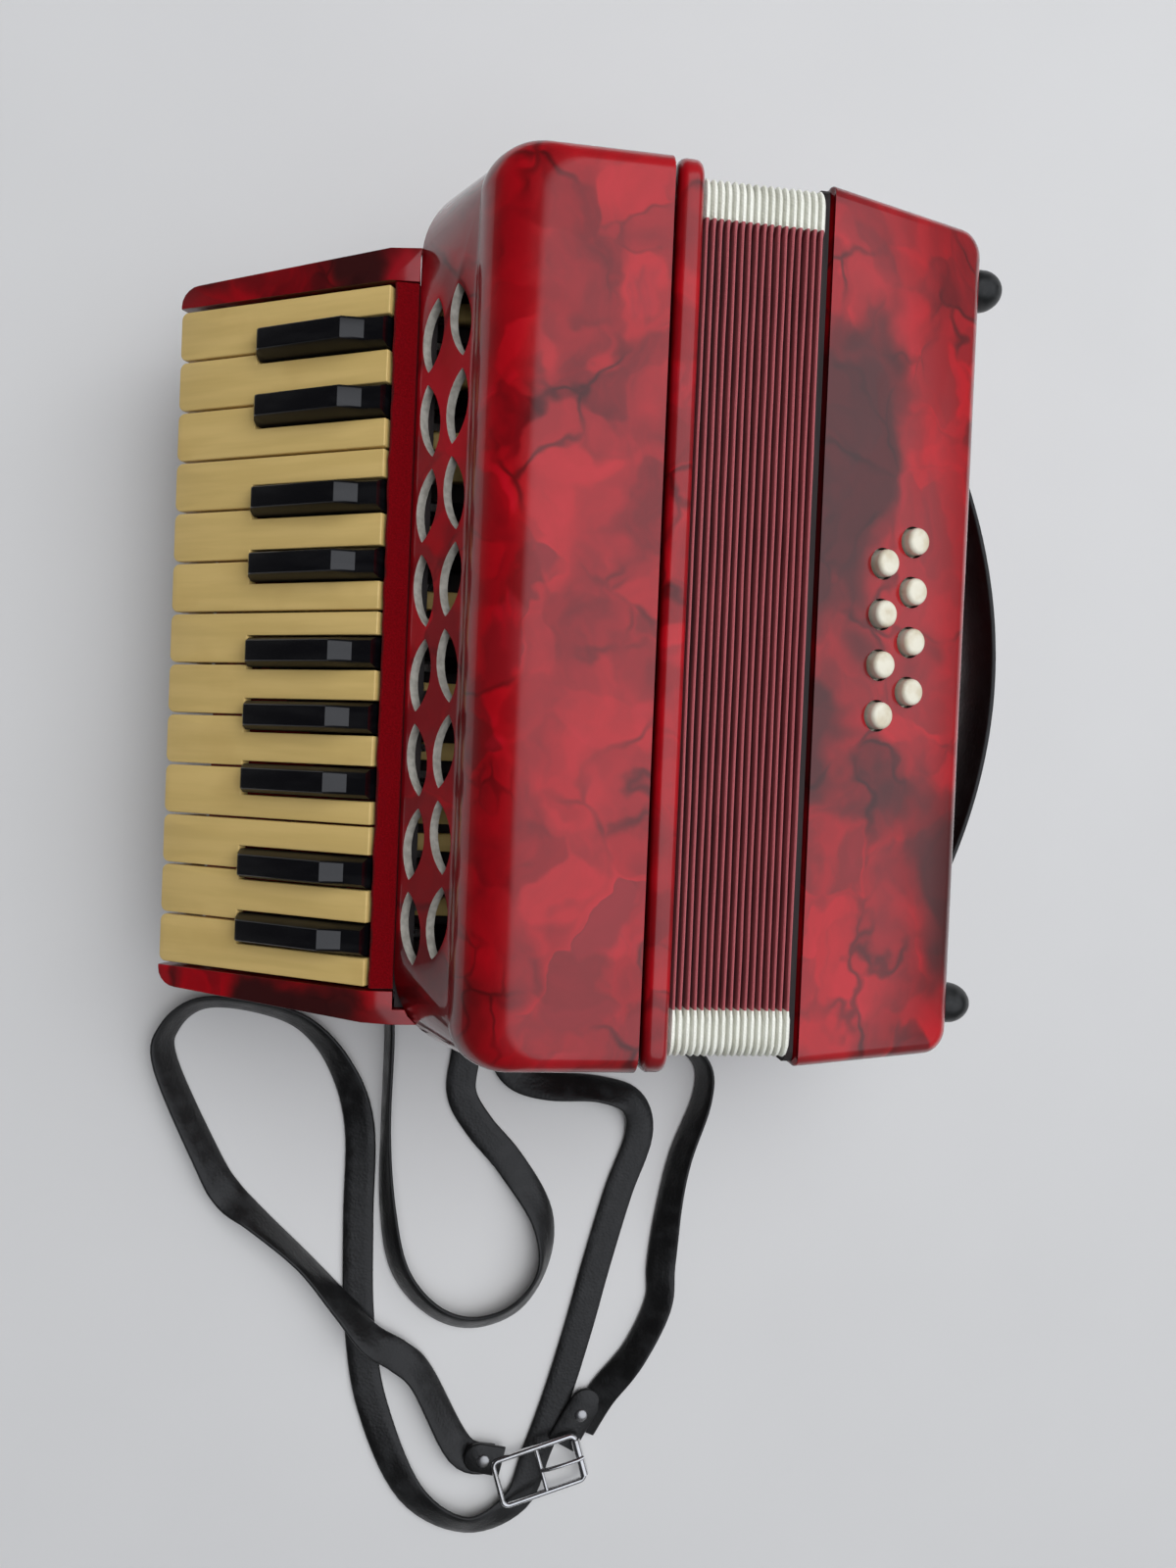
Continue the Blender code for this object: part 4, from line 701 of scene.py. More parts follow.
def makeFlange():
    half, high, land = case["half"], case["depth"], flange["land"]
    rounds = edgeRound(flange["edge"], 5)
    stations = rounds + [(inset, flange["thick"] - rise) for inset, rise in reversed(rounds)]
    rings = []
    for inset, along in stations:
        radii = (flange["corner"] - inset,) * 4
        outline = roundedOutline((inset - half, inset), (half - inset, high - inset), radii, 8)
        rings.append([(flange["left"] + along, y, z) for y, z in outline])
    hole = roundedOutline((land - half, land), (half - land, case["height"]),
                          (flange["holeCorner"],) * 4, 8)
    rings += [[(flange["left"] + along, y, z) for y, z in hole] for along in (flange["thick"], 0)]
    item = keep("trebleFlange", loft(rings, loop=True), pearlFlange)
    place(item, "treble", "red_pearloid", "treble_flange")


makeTrebleCase()
makeTrebleCover()
makeFlange()
print("treble case, cover and flange made")


# Keyboard
def keyPoint(along, above, y=None):
    turn = math.radians(keyboard["tilt"])
    x = keyboard["tipX"] + along * math.cos(turn) - above * math.sin(turn)
    z = keyboard["tipZ"] + along * math.sin(turn) + above * math.cos(turn)
    return (x, z) if y is None else Vector((x, y, z))


def whiteMiddle(index):
    return keyboard["middle"] + ((keyboard["keys"] - 1) / 2 - index) * keyboard["pitch"]


def sideSlab(profile, low, high):
    return loft([[(x, y, z) for x, z in profile] for y in (low, high)])


def neck(index):  # low and high side between the black keys
    pitch, shifts = keyboard["pitch"], blackKey["shift"]
    half, notch = (pitch - keyboard["play"]) / 2, (pitch - blackKey["base"]) / 2 - blackKey["play"]
    low = shifts[index + 1] * pitch - notch if index + 1 in shifts else -half
    return low, shifts[index] * pitch + notch if index in shifts else half


def whiteAside(index):  # how far the lever stands off the key's middle
    aside = sum(neck(index)) / 2
    room = (keyboard["pitch"] - lever["pallet"] - lever["white"]) / 2 - lever["gap"]
    between = index in blackKey["shift"] and index + 1 in blackKey["shift"]
    return max(-room, min(room, aside)) if between else aside


def whitePlan(index):
    half, r = (keyboard["pitch"] - keyboard["play"]) / 2, whiteKey["tipRound"]
    start, end = blackKey["start"] - blackKey["play"], keyboard["length"]
    lowSide, highSide = neck(index)
    low = [(start, -half), (start, lowSide)] if index + 1 in blackKey["shift"] else []
    high = [(start, highSide), (start, half)] if index in blackKey["shift"] else []
    plan = arc((r, r - half), r, 180, 270, 5) + low + [(end, lowSide), (end, highSide)]
    return plan + high + arc((r, half - r), r, 90, 180, 5)


def makeLever(y, aside, start, width, palletX, palletWidth):
    top, length = lever["into"] - whiteKey["cap"], keyboard["length"]
    endX, endZ = keyPoint(length - lever["topEnd"], top)
    footX, footZ = keyPoint(length - lever["footEnd"], -lever["bottom"])
    low, high = lever["armLow"], lever["armHigh"]
    tip, half = palletX + lever["reach"], palletWidth / 2
    profile = (keyPoint(start, top), (endX, endZ), (endX + lever["topLean"], high), (tip, high),
               (tip, low), (footX + lever["footLean"], low), (footX, footZ),
               keyPoint(start, -lever["bottom"]))
    arm = keep("lever", sideSlab(profile, y + aside - width / 2, y + aside + width / 2), leverWood)
    soften(arm, lever["soft"], 1)
    pad, inset = keyboard["soundboard"] + lever["gap"], lever["cushionIn"]
    pallet = keep("pallet", block(
        (palletX - lever["reach"], y - half, pad + lever["cushion"] - 0.0001),
        (palletX + lever["palletFront"], y + half, low + lever["palletIn"])), leverWood)
    cushion = keep("cushion", block(
        (palletX - lever["reach"] + inset, y - half + inset, pad),
        (palletX + lever["palletFront"] - inset, y + half - inset, pad + lever["cushion"])), felt)
    return arm, pallet, cushion


def makeWhiteKey(index):
    y, plan, w = whiteMiddle(index), whitePlan(index), whiteKey
    cap = keep("whiteKey%02d" % (index + 1),
               loft([[keyPoint(a, h, y + b) for a, b in plan] for h in (-w["cap"], 0)]), ivory)
    soften(cap, 0.0005, 3, 60)
    half, r = (keyboard["pitch"] - keyboard["play"]) / 2 - w["skirtIn"], w["skirtRound"]
    skirt = arc((r + w["skirtBack"], r - half), r, 180, 270, 3)
    skirt += [(w["skirtEnd"], -half), (w["skirtEnd"], half)]
    skirt += arc((r + w["skirtBack"], half - r), r, 90, 180, 3)
    front = keep("front", loft([[keyPoint(a, h, y + b) for a, b in skirt]
                                for h in (-w["drop"], lever["into"] - w["cap"])]), ivory)
    parts = makeLever(y, whiteAside(index), 0.004, lever["white"], 0.0, lever["whitePallet"])
    joinAll(cap, front, *parts)
    body = "white_key_%02d" % (index + 1)
    place(cap, body, "ivory_plastic", body)


def makeBlackKey(order, after):
    b, pitch, rings = blackKey, keyboard["pitch"], []
    middle, shift = whiteMiddle(after) + pitch / 2, b["shift"][after] * pitch
    base, crown = b["base"] / 2, b["top"] / 2
    for along, share in b["profile"]:
        top = b["height"] * share
        half = [(base, -whiteKey["cap"]), (base, 0.1 * top)]
        half += [(crown + past, part * top) for past, part in b["section"]]
        section = half + [(-a, h) for a, h in reversed(half)]
        rings.append([keyPoint(b["start"] + along, h, middle + shift + a) for a, h in section])
    cap = keep("blackKey%d" % (order + 1), loft(rings), ebony, sharp=24)
    room = (b["base"] - lever["black"]) / 2 - lever["gap"]
    aside = max(shift - room, 0) + min(shift + room, 0)
    parts = makeLever(middle, aside, b["start"] + 0.005, lever["black"], -0.026, lever["pallet"])
    joinAll(cap, *parts)
    body = "black_key_%d" % (order + 1)
    place(cap, body, "black_plastic", body)


def copyNode(name, title, material, width, segments=2, angle=40):
    built = bmesh.new()
    built.from_mesh(nodes[name].data)
    bmesh.ops.remove_doubles(built, verts=built.verts, dist=2e-6)
    bmesh.ops.dissolve_limit(built, angle_limit=math.radians(0.5), verts=built.verts,
                             edges=built.edges)
    mesh = bpy.data.meshes.new(title)
    built.to_mesh(mesh)
    built.free()
    mesh.materials.clear()
    mesh.materials.append(material)
    item = bpy.data.objects.new(title, mesh)
    bpy.context.scene.collection.objects.link(item)
    for face in mesh.polygons:
        face.material_index = 0
    return soften(item, width, segments, angle)


feltStrip = {"steps": 150, "fray": 0.0005, "frayScale": 160, "round": 0.0006}


def makeFelt():  # ragged along its upper edge
    (low, high), rings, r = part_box("felt_strip"), [], feltStrip["round"]
    reach = high.z - low.z
    for i in range(feltStrip["steps"] + 1):
        y = low.y + (high.y - low.y) * i / feltStrip["steps"]
        fray = [feltStrip["fray"] * noise.noise(Vector((y * feltStrip["frayScale"], k * 7.3, 0.4)))
                for k in range(2)]
        section = ((low.x, low.z), (low.x + fray[0], low.z + 0.6 * reach),
                   (low.x + r + fray[0], high.z), ((low.x + high.x) / 2, high.z + 0.2 * fray[1]),
                   (high.x - r, high.z), (high.x, high.z - 0.3 * reach), (high.x, low.z))
        rings.append([(x, y, z) for x, z in section])
    place(keep("feltStrip", loft(rings), felt), "treble", "red_felt", "felt_strip")


for number in range(keyboard["keys"]):
    makeWhiteKey(number)
for order, after in enumerate(blackKey["shift"]):
    makeBlackKey(order, after)
makeFelt()
place(copyNode("keyboard_case", "keyboardCase", pearlKeyboard, 0.0021, 4), "treble",
      "red_pearloid", "keyboard_case")
print("keyboard made")


# Bellows
folds = {"left": 0.0303, "width": 0.0396, "halfLength": 0.1385, "low": 0.0032, "high": 0.1388,
         "depth": 0.0052, "corner": 0.006, "folds": 17, "stations": 17 * 6 + 1, "around": 281,
         "binding": 0.0145, "bindingProud": 0.0003, "bindingFill": 0.72, "lip": 0.30,
         "waver": 0.0007, "waverScale": 22.0, "waverStep": 3.7}
foldWall = 0.0006


def bellowsTree():
    s = startTree("pleats", {**folds, "cloth": foldCloth, "bindingCloth": binding})
    e = s.entry
    grid = s.add("GeometryNodeMeshGrid", None, {
        "Size X": 1.0, "Size Y": 1.0, "Vertices X": e["stations"], "Vertices Y": e["around"]})
    spot = s.add("GeometryNodeInputPosition")
    u, v = (s.add("ShaderNodeSeparateXYZ", None, [spot], k) + 0.5 for k in range(2))
    fold = u * e["folds"]
    slope = (fold.work("FRACT") * 2 - 1).work("ABSOLUTE")
    depth = s.add("ShaderNodeClamp", None, [(slope - e["lip"]) / (1 - e["lip"]), 0.0, 1.0])
    tall = e["high"] - e["low"]
    frameLine = s.add("GeometryNodeCurvePrimitiveQuadrilateral", None,
                      {"Width": e["halfLength"] * 2, "Height": tall})
    frameLine = s.add("GeometryNodeFilletCurve", {"mode": "POLY"}, {
        "Curve": frameLine, "Radius": e["corner"], "Count": 4})
    around = s.add("GeometryNodeSampleCurve", {"mode": "FACTOR"},
                   {"Curves": frameLine, "Factor": v}, "Position")
    heading = Value(s, around.socket.node.outputs["Tangent"])
    side = s.vector("CROSS_PRODUCT", heading, (0.0, 0.0, 1.0))
    facing = s.add("ShaderNodeVectorMath", {"operation": "DOT_PRODUCT"}, [side, around], "Value")
    outward = s.add("ShaderNodeVectorMath", {"operation": "SCALE"},
                    {0: side, "Scale": facing.work("SIGN")})
    placeY, placeZ = (s.add("ShaderNodeSeparateXYZ", None, [around], k) for k in range(2))
    outY, outZ = (s.add("ShaderNodeSeparateXYZ", None, [outward], k) for k in range(2))
    nearY = placeY.work("ABSOLUTE").work("GREATER_THAN", e["halfLength"] - e["binding"])
    nearZ = placeZ.work("ABSOLUTE").work("GREATER_THAN", tall / 2 - e["binding"])
    corner = nearY * nearZ
    inset = depth * e["depth"] * (1 - corner * e["bindingFill"]) - corner * e["bindingProud"]
    wave = s.speckle(s.add("ShaderNodeCombineXYZ", None, [
        fold.work("FLOOR") * e["waverStep"], placeY * e["waverScale"],
        placeZ * e["waverScale"]]), 1.0, 1.0)
    x = e["left"] + u * e["width"] + (wave - 0.5) * e["waver"] * (1 - depth)
    where = s.add("ShaderNodeCombineXYZ", None, [
        x, placeY - outY * inset, placeZ - outZ * inset + (e["high"] + e["low"]) / 2])
    # fields are read on the flat grid, so the cloths are set before it is folded
    shaped = s.add("GeometryNodeStoreNamedAttribute", {"data_type": "FLOAT", "domain": "POINT"},
                   {"Geometry": grid, "Name": "ridge", "Value": 1 - depth})
    shaped = s.add("GeometryNodeSetMaterial", None, {"Geometry": shaped, "Material": e["cloth"]})
    shaped = s.add("GeometryNodeSetMaterial", None, {
        "Geometry": shaped, "Selection": corner, "Material": e["bindingCloth"]})
    shaped = s.add("GeometryNodeSetPosition", None, {"Geometry": shaped, "Position": where})
    shaped = s.add("GeometryNodeMergeByDistance", None, {"Geometry": shaped, "Distance": 1e-5})
    return finishTree(s, shaped)


def makeBellows():
    item = grow("bellowsFolds", bellowsTree(),
                {**folds, "cloth": foldCloth, "bindingCloth": binding})
    built = bmesh.new()
    built.from_mesh(item.data)
    bmesh.ops.recalc_face_normals(built, faces=built.faces)
    if sum(f.normal.y * f.calc_center_median().y for f in built.faces) < 0:
        bmesh.ops.reverse_faces(built, faces=built.faces)
    built.to_mesh(item.data)
    built.free()
    skin = item.modifiers.new("skin", "SOLIDIFY")
    skin.thickness, skin.offset = foldWall, -1
    smooth(settle(item), 40)
    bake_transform(item)
    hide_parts("bellows")


makeBellows()
print("bellows made")


# Bass side
bass = {"left": 0.0730, "width": 0.0628, "half": 0.1426, "top": 0.135, "slope": 19.4, "wall": 0.003,
        "corner": 0.009, "edge": 0.0045, "inner": 0.0016, "lip": 0.0012, "foot": 0.0008,
        "windowLow": 0.008, "windowHigh": 0.120, "windowBefore": 0.005, "windowBehind": 0.0075}
button = {"columns": ((0.038, 0.0070), (0.026, -0.0016)), "rows": 4, "pitch": 0.0168,
          "radius": 0.0045, "clearance": 0.0008, "proud": 0.0036, "collar": 0.0062,
          "collarThick": 0.0014, "under": 0.0008, "stem": 0.002, "pin": 0.016, "edge": 0.0016,
          "drillFrom": 0.010, "drillLength": 0.015}
airButton = {"place": (0.112, 0.040), "radius": 0.005, "proud": 0.005, "collar": 0.0067,
             "pin": 0.012, "edge": 0.001, "drillFrom": 0.006, "drillLength": 0.009}
slope = math.radians(bass["slope"])
bassRight = bass["left"] + bass["width"]
bassUp = Vector((math.sin(slope), 0, math.cos(slope)))
foot = {"radius": 0.0072, "height": 0.0115, "y": 0.1266, "levels": {"front": 0.102, "back": 0.014},
        "sides": ((0.0, 0.96), (0.0012, 1.0), (0.0030, 0.985)), "waist": 0.26, "steps": 8}


def bassFront(x):
    return bass["top"] - (x - bass["left"]) * math.tan(slope)


def bassRing(inset, drop, wall=0.0, flat=None):
    half, r = bass["half"] - inset, max(bass["corner"] - inset, 0.001)
    inner = max(bass["inner"] - inset, 0.0006)
    outline = roundedOutline((bass["left"] + min(inset, bass["lip"] + wall), -half),
                             (bassRight - inset, half), (inner, r, r, inner), 10)
    return [(x, y, bassFront(x) - drop if flat is None else flat) for x, y in outline]


def buttonPlaces():
    places = []
    for along, shift in button["columns"]:
        x = bass["left"] + along
        for row in range(button["rows"]):
            y = shift + ((button["rows"] - 1) / 2 - row) * button["pitch"]
            places.append(Vector((x, y, bassFront(x))))
    return places


def drill(at, direction, kind):
    radius = kind["radius"] + button["clearance"]
    start = Vector(at) - Vector(direction) * kind["drillFrom"]
    return lathe(start, direction, [(0, radius), (kind["drillLength"], radius)])


def makeBassCase():
    edge, wall, low, base = bass["edge"], bass["wall"], bass["left"], bass["foot"]
    rings = [bassRing(base, 0, flat=0.0), bassRing(0, 0, flat=base)]
    rings += [bassRing(inset, drop) for inset, drop in reversed(edgeRound(edge, 7))]
    hollow = [bassRing(wall, 0, wall, flat=0.0), bassRing(wall, wall + edge, wall),
              bassRing(wall + 0.3 * edge, wall + 0.3 * edge, wall),
              bassRing(wall + edge, wall, wall)]
    item = keep("bassCase", loft(list(reversed(hollow)) + rings), pearlBass)
    half = bass["half"] - bass["windowLow"]
    window = block((low - bass["windowBefore"], -half, bass["windowLow"]),
                   (low + bass["windowBehind"], half, bass["windowHigh"]))
    combine(item, keep("window", window, pearlBass))
    # painted shade: the cut walls of the button holes and the air hole take the near-black board
    # finish, so the gap round each button reads dark
    drills = gather([drill(at, bassUp, button) for at in buttonPlaces()])
    combine(item, keep("drills", drills, darkBoardAndShade))
    hole = drill((bassRight, *airButton["place"]), (1, 0, 0), airButton)
    smooth(combine(item, keep("hole", hole, darkBoardAndShade)), 35)
    place(item, "bass", "red_pearloid", "bass_case")


def makeButton(name, body, at, direction, kind, steps, crown):
    r, proud, edge, stem = kind["radius"], kind["proud"], kind["edge"], button["stem"]
    under = bass["wall"] + button["under"]
    low = under + button["collarThick"]
    profile = [(-under - kind["pin"], stem), (-low, stem), (-low, kind["collar"]),
               (-under, kind["collar"]), (-under, r)]
    for turn in [math.pi / 2 * i / steps for i in range(steps + 1)]:
        profile.append((proud - edge + edge * math.sin(turn), r - edge + edge * math.cos(turn)))
    profile += [(proud + rise, radius) for rise, radius in crown]
    place(keep(name, lathe(at, direction, profile), cream, sharp=50), body, "cream_plastic", body)


def makeButtons():
    for order, at in enumerate(buttonPlaces()):
        number = str(order + 1)
        makeButton("bassButton" + number, "bass_button_" + number, at, bassUp, button, 6,
                   [(0.00005, 0.0006)])
    makeButton("airButton", "air_button", (bassRight, *airButton["place"]), (1, 0, 0), airButton, 5,
               [(-0.0004, airButton["radius"] * 0.6), (-0.0006, 0.0005)])


def makeFeet():
    radius, height, waist = foot["radius"], foot["height"], foot["waist"]
    profile = [(along, radius * share) for along, share in foot["sides"]]
    for i in range(1, foot["steps"] + 1):  # stops just short of the tip
        turn = math.pi / 2 * i / (foot["steps"] + 0.4)
        profile.append((height * (waist + (1 - waist) * math.sin(turn)), radius * math.cos(turn)))
    for end, side in (("high", 1), ("low", -1)):
        for level, z in foot["levels"].items():
            start = (bassRight + 0.0003, side * foot["y"], z)
            item = keep("foot%s%s" % (end.title(), level.title()), lathe(start, (1, 0, 0), profile),
                        rubber)
            place(item, "bass", "black_rubber", "foot_%s_%s" % (end, level))


# Hand strap, sewn along both edges
hand = {"width": 0.044, "thick": 0.0022, "span": 0.210, "bow": 0.025, "flatEnd": 0.010,
        "middle": (-0.008, 0.060), "steps": 60, "seam": 0.0032, "seamSteps": 80, "gap": 0.0003}
stitch = {"pitch": 0.0042, "length": 0.0027, "radius": 0.00028, "sides": 7}


def handLine(along):  # x of the strap's inner face
    bowed = hand["span"] / 2 - hand["flatEnd"]
    return bassRight + hand["gap"] + hand["bow"] * max(0.0, 1 - (along / bowed) ** 2)


def makeHandStrap():
    half, (cy, cz), rings = hand["span"] / 2, hand["middle"], []
    for i in range(hand["steps"] + 1):
        along = half * (2 * i / hand["steps"] - 1)
        x, t, w = handLine(along), hand["thick"], hand["width"] / 2
        section = ((x, w - 0.0004), (x + 0.0005, w), (x + t - 0.0006, w), (x + t, w - 0.0008),
                   (x + t, 0.5 * w), (x + t, -0.5 * w), (x + t, 0.0008 - w), (x + t - 0.0006, -w),
                   (x + 0.0005, -w), (x, 0.0004 - w))
        rings.append([(a, cy + along, cz + b) for a, b in section])
    item = keep("handStrap", loft(rings), handLeather, sharp=60)
    place(item, "bass", "black_leather", "hand_strap")
    line = bmesh.new()
    for side in (-1, 1):
        before = None
        for i in range(hand["seamSteps"] + 1):
            along = (half - hand["flatEnd"] - 0.002) * (2 * i / hand["seamSteps"] - 1)
            at = line.verts.new((handLine(along) + hand["thick"] + 0.0001, cy + along,
                                 cz + side * (hand["width"] / 2 - hand["seam"])))
            if before:
                line.edges.new((before, at))
            before = at
    seed = bpy.data.meshes.new("seam")
    line.to_mesh(seed)
    line.free()
    item = grow("handStitches", stitchTree(), {**stitch, "thread": thread}, seed)
    place(item, "bass", "black_leather")


def stitchTree():
    s = startTree("stitches", {**stitch, "thread": thread})
    line = s.add("GeometryNodeMeshToCurve", None, [s.entry["Geometry"]])
    line = s.add("GeometryNodeResampleCurve", {"mode": "LENGTH"},
                 {"Curve": line, "Length": s.entry["pitch"]})
    heading = s.add("GeometryNodeInputTangent")
    turn = s.add("FunctionNodeAlignRotationToVector", {"axis": "Z"}, {"Vector": heading})
    body = s.add("GeometryNodeMeshCylinder", None, {
        "Vertices": s.entry["sides"], "Radius": s.entry["radius"], "Depth": s.entry["length"]})
    many = s.add("GeometryNodeInstanceOnPoints", None, {"Points": line, "Instance": body,
                                                        "Rotation": turn})
    many = s.add("GeometryNodeRealizeInstances", None, [many])
    return finishTree(s, s.add("GeometryNodeSetMaterial", None,
                               {"Geometry": many, "Material": s.entry["thread"]}))


# Screws: domed heads with a dark bar painted on as the shaded slot, one mesh for each body
screw = {"radius": 0.0023, "dome": 0.0008, "slotWidth": 0.0005, "sink": 0.0001, "seed": 7,
         "sides": 20, "rings": 3, "flatten": 0.85, "slotLength": 1.7, "slotProud": 2.02}
screwPlaces = {"anchor": (0.002, 0.015), "anchorPlate": 0.0020, "bassIn": 0.012,
               "bassLevels": (0.022, 0.086), "coverUp": 0.006, "coverAlong": (-0.022, 0.008),
               "caseLevel": 0.030, "caseAlong": (-0.09, 0.0, 0.09), "gap": 0.00005}


def screwTree():
    s = startTree("screws", {**screw, "metal": steel, "dark": darkBoardAndShade})
    e = s.entry
    disc = s.add("GeometryNodeMeshCylinder", {"fill_type": "NGON"}, {
        "Vertices": e["sides"], "Side Segments": 1, "Fill Segments": e["rings"],
        "Radius": e["radius"], "Depth": e["sink"] * 2})
    spot = s.add("GeometryNodeInputPosition")
    px, py, pz = (s.add("ShaderNodeSeparateXYZ", None, [spot], k) for k in range(3))
    rim = (px * px + py * py) / (e["radius"] * e["radius"])
    lift = pz.work("GREATER_THAN", 0.0) * e["dome"] * (1 - rim * e["flatten"])
    disc = s.add("GeometryNodeSetPosition", None, {
        "Geometry": disc, "Offset": s.add("ShaderNodeCombineXYZ", None, [0.0, 0.0, lift])})
    disc = s.add("GeometryNodeSetMaterial", None, {"Geometry": disc, "Material": e["metal"]})
    # painted shade: the slot is a near-black bar set just proud of the dome, in place of the shade
    # down in a cut slot
    slot = s.add("GeometryNodeMeshCube", None, {"Size": s.add("ShaderNodeCombineXYZ", None, [
        e["radius"] * e["slotLength"], e["slotWidth"], e["dome"] * e["slotProud"]])})
    slot = s.add("GeometryNodeSetMaterial", None, {"Geometry": slot, "Material": e["dark"]})
    head = s.add("GeometryNodeJoinGeometry", None, [disc])
    s.tree.links.new(slot.socket, head.socket.node.inputs[0])
    aim = s.add("GeometryNodeInputNamedAttribute", {"data_type": "FLOAT_VECTOR"}, {"Name": "aim"})
    turn = s.add("FunctionNodeAlignRotationToVector", {"axis": "Z"}, {"Vector": aim})
    chance = s.add("FunctionNodeRandomValue", {"data_type": "FLOAT"},
                   {2: 0.0, 3: 3.1, 8: e["seed"]}, 1)  # lowest, highest, seed
    spin = s.add("FunctionNodeAxisAngleToRotation", None,
                 {"Axis": (0.0, 0.0, 1.0), "Angle": chance})
    turn = s.add("FunctionNodeRotateRotation", {"rotation_space": "LOCAL"},
                 {"Rotation": turn, "Rotate By": spin})
    many = s.add("GeometryNodeInstanceOnPoints", None, {"Points": e["Geometry"], "Instance": head,
                                                        "Rotation": turn})
    return finishTree(s, many)


def makeScrews(name, tree, places, body, slot):
    seed = bpy.data.meshes.new(name)
    seed.from_pydata([at for at, aim in places], [], [])
    seed.attributes.new("aim", "FLOAT_VECTOR", "POINT")
    for item, (at, aim) in zip(seed.attributes["aim"].data, places):
        item.vector = aim
    item = grow(name, tree, {**screw, "metal": steel, "dark": darkBoardAndShade}, seed)
    place(smooth(item, 30), body, slot)


makeBassCase()
makeButtons()
makeFeet()
makeHandStrap()
for end in ("high", "low"):
    name = "strap_anchor_" + end
    place(copyNode(name, "strapAnchor" + end.title(), steel, 0.0004, 2), "bass", "steel", name)
heads, at, gap = screwTree(), screwPlaces, screwPlaces["gap"]
(cy, cz), (nearEnd, apart) = hand["middle"], at["anchor"]
anchorFace = bassRight + 2 * hand["gap"] + hand["thick"] + at["anchorPlate"]
bassScrews = [((anchorFace, cy + side * (hand["span"] / 2 - nearEnd), cz + b), (1, 0, 0))
              for side in (-1, 1) for b in (-apart, apart)]
bassScrews += [((bassRight - at["bassIn"], side * (bass["half"] + gap), z), (0, side, 0))
               for side in (-1, 1) for z in at["bassLevels"]]
makeScrews("bassScrews", heads, bassScrews, "bass", "steel")
trebleScrews = [((x, side * (case["half"] + gap), cover["bottom"] + at["coverUp"]), (0, side, 0))
                for side in (-1, 1) for x in at["coverAlong"]]
trebleScrews += [((case["left"] - gap, y, at["caseLevel"]), (-1, 0, 0)) for y in at["caseAlong"]]
makeScrews("trebleScrews", heads, trebleScrews, "treble", "steel")
print("bass side and screws made")


# Shoulder straps: x, y, turn in degrees (0 flat, 90 on edge), lift; millimetres
strap = {"width": 0.0125, "thick": 0.0016, "edge": 0.0006, "steps": 7, "gap": 0.00015}
routes = {
    "long": (
        (-8, -344, 0, 2), (-22, -339, 25, 0), (-39, -307, 40, 1), (-49, -297, 20, 3.5),
        (-61, -288, 45, 4), (-73, -275, 60, 1), (-90, -256, 75, 0), (-110, -238, 60, 0),
        (-121, -229, 30, 0), (-129, -215, 45, 0), (-147, -175, 55, 0), (-146, -160, 60, 0),
        (-134, -150, 62, 0), (-113, -151, 60, 0), (-93, -158, 50, 0), (-78, -175, 35, 0),
        (-69, -201, 10, 0), (-68, -242, 0, 0), (-66, -284, 0, 0), (-59, -321, 0, 0),
        (-42, -357, 20, 0), (-18, -371, 35, 0), (3, -363, 10, 0), (11, -343, 0, 0),
        (19, -319, 0, 0), (27, -290, 0, 0), (34, -261, 0, 0), (42, -231, 0, 0),
        (50, -206, 5, 0), (46, -191, 30, 0), (31, -185, 45, 0), (10, -184, 30, 0),
        (-4, -180, 10, 0), (-10, -170, 0, 0), (-9, -158, 0, 2.3), (-9, -150, 0, 2.8)),
    "loop": (
        (-64, -118, 75, 0), (-60, -140, 75, 0), (-58, -162, 75, 0), (-58, -201, 75, 0),
        (-56, -234, 60, 0), (-50, -261, 50, 0), (-36, -278, 50, 0), (-19, -284, 50, 0),
        (-1, -278, 55, 0), (10, -261, 65, 0), (9, -240, 40, 0), (-5, -218, 10, 0),
        (-19, -202, 0, 0), (-27, -188, 0, 0), (-26, -172, 0, 0), (-24, -158, 0, 2.3),
        (-24, -150, 0, 2.8)),
    "short": (
        (14, -150, 0, 2.8), (14, -158, 0, 2.3), (19, -167, 10, 0), (33, -169, 40, 0),
        (50, -166, 60, 0), (66, -166, 65, 0), (76, -175, 65, 0), (76, -190, 65, 0),
        (68, -214, 55, 0), (64, -236, 45, 0), (62, -262, 20, 0), (61, -279, 35, 0),
        (51, -300, 45, 0), (38, -318, 20, 0), (30, -334, 0, 0))}


def smoothRoute(route, steps):
    rows = [Vector(row) for row in route]
    points = []
    for i in range(len(rows) - 1):
        a, b = rows[max(i - 1, 0)], rows[i]
        c, d = rows[i + 1], rows[min(i + 2, len(rows) - 1)]
        for k in range(steps):
            t = k / steps
            points.append(0.5 * (2 * b + (c - a) * t + (2 * a - 5 * b + 4 * c - d) * t ** 2
                                 + (3 * b - a - 3 * c + d) * t ** 3))
    return points + [rows[-1]]


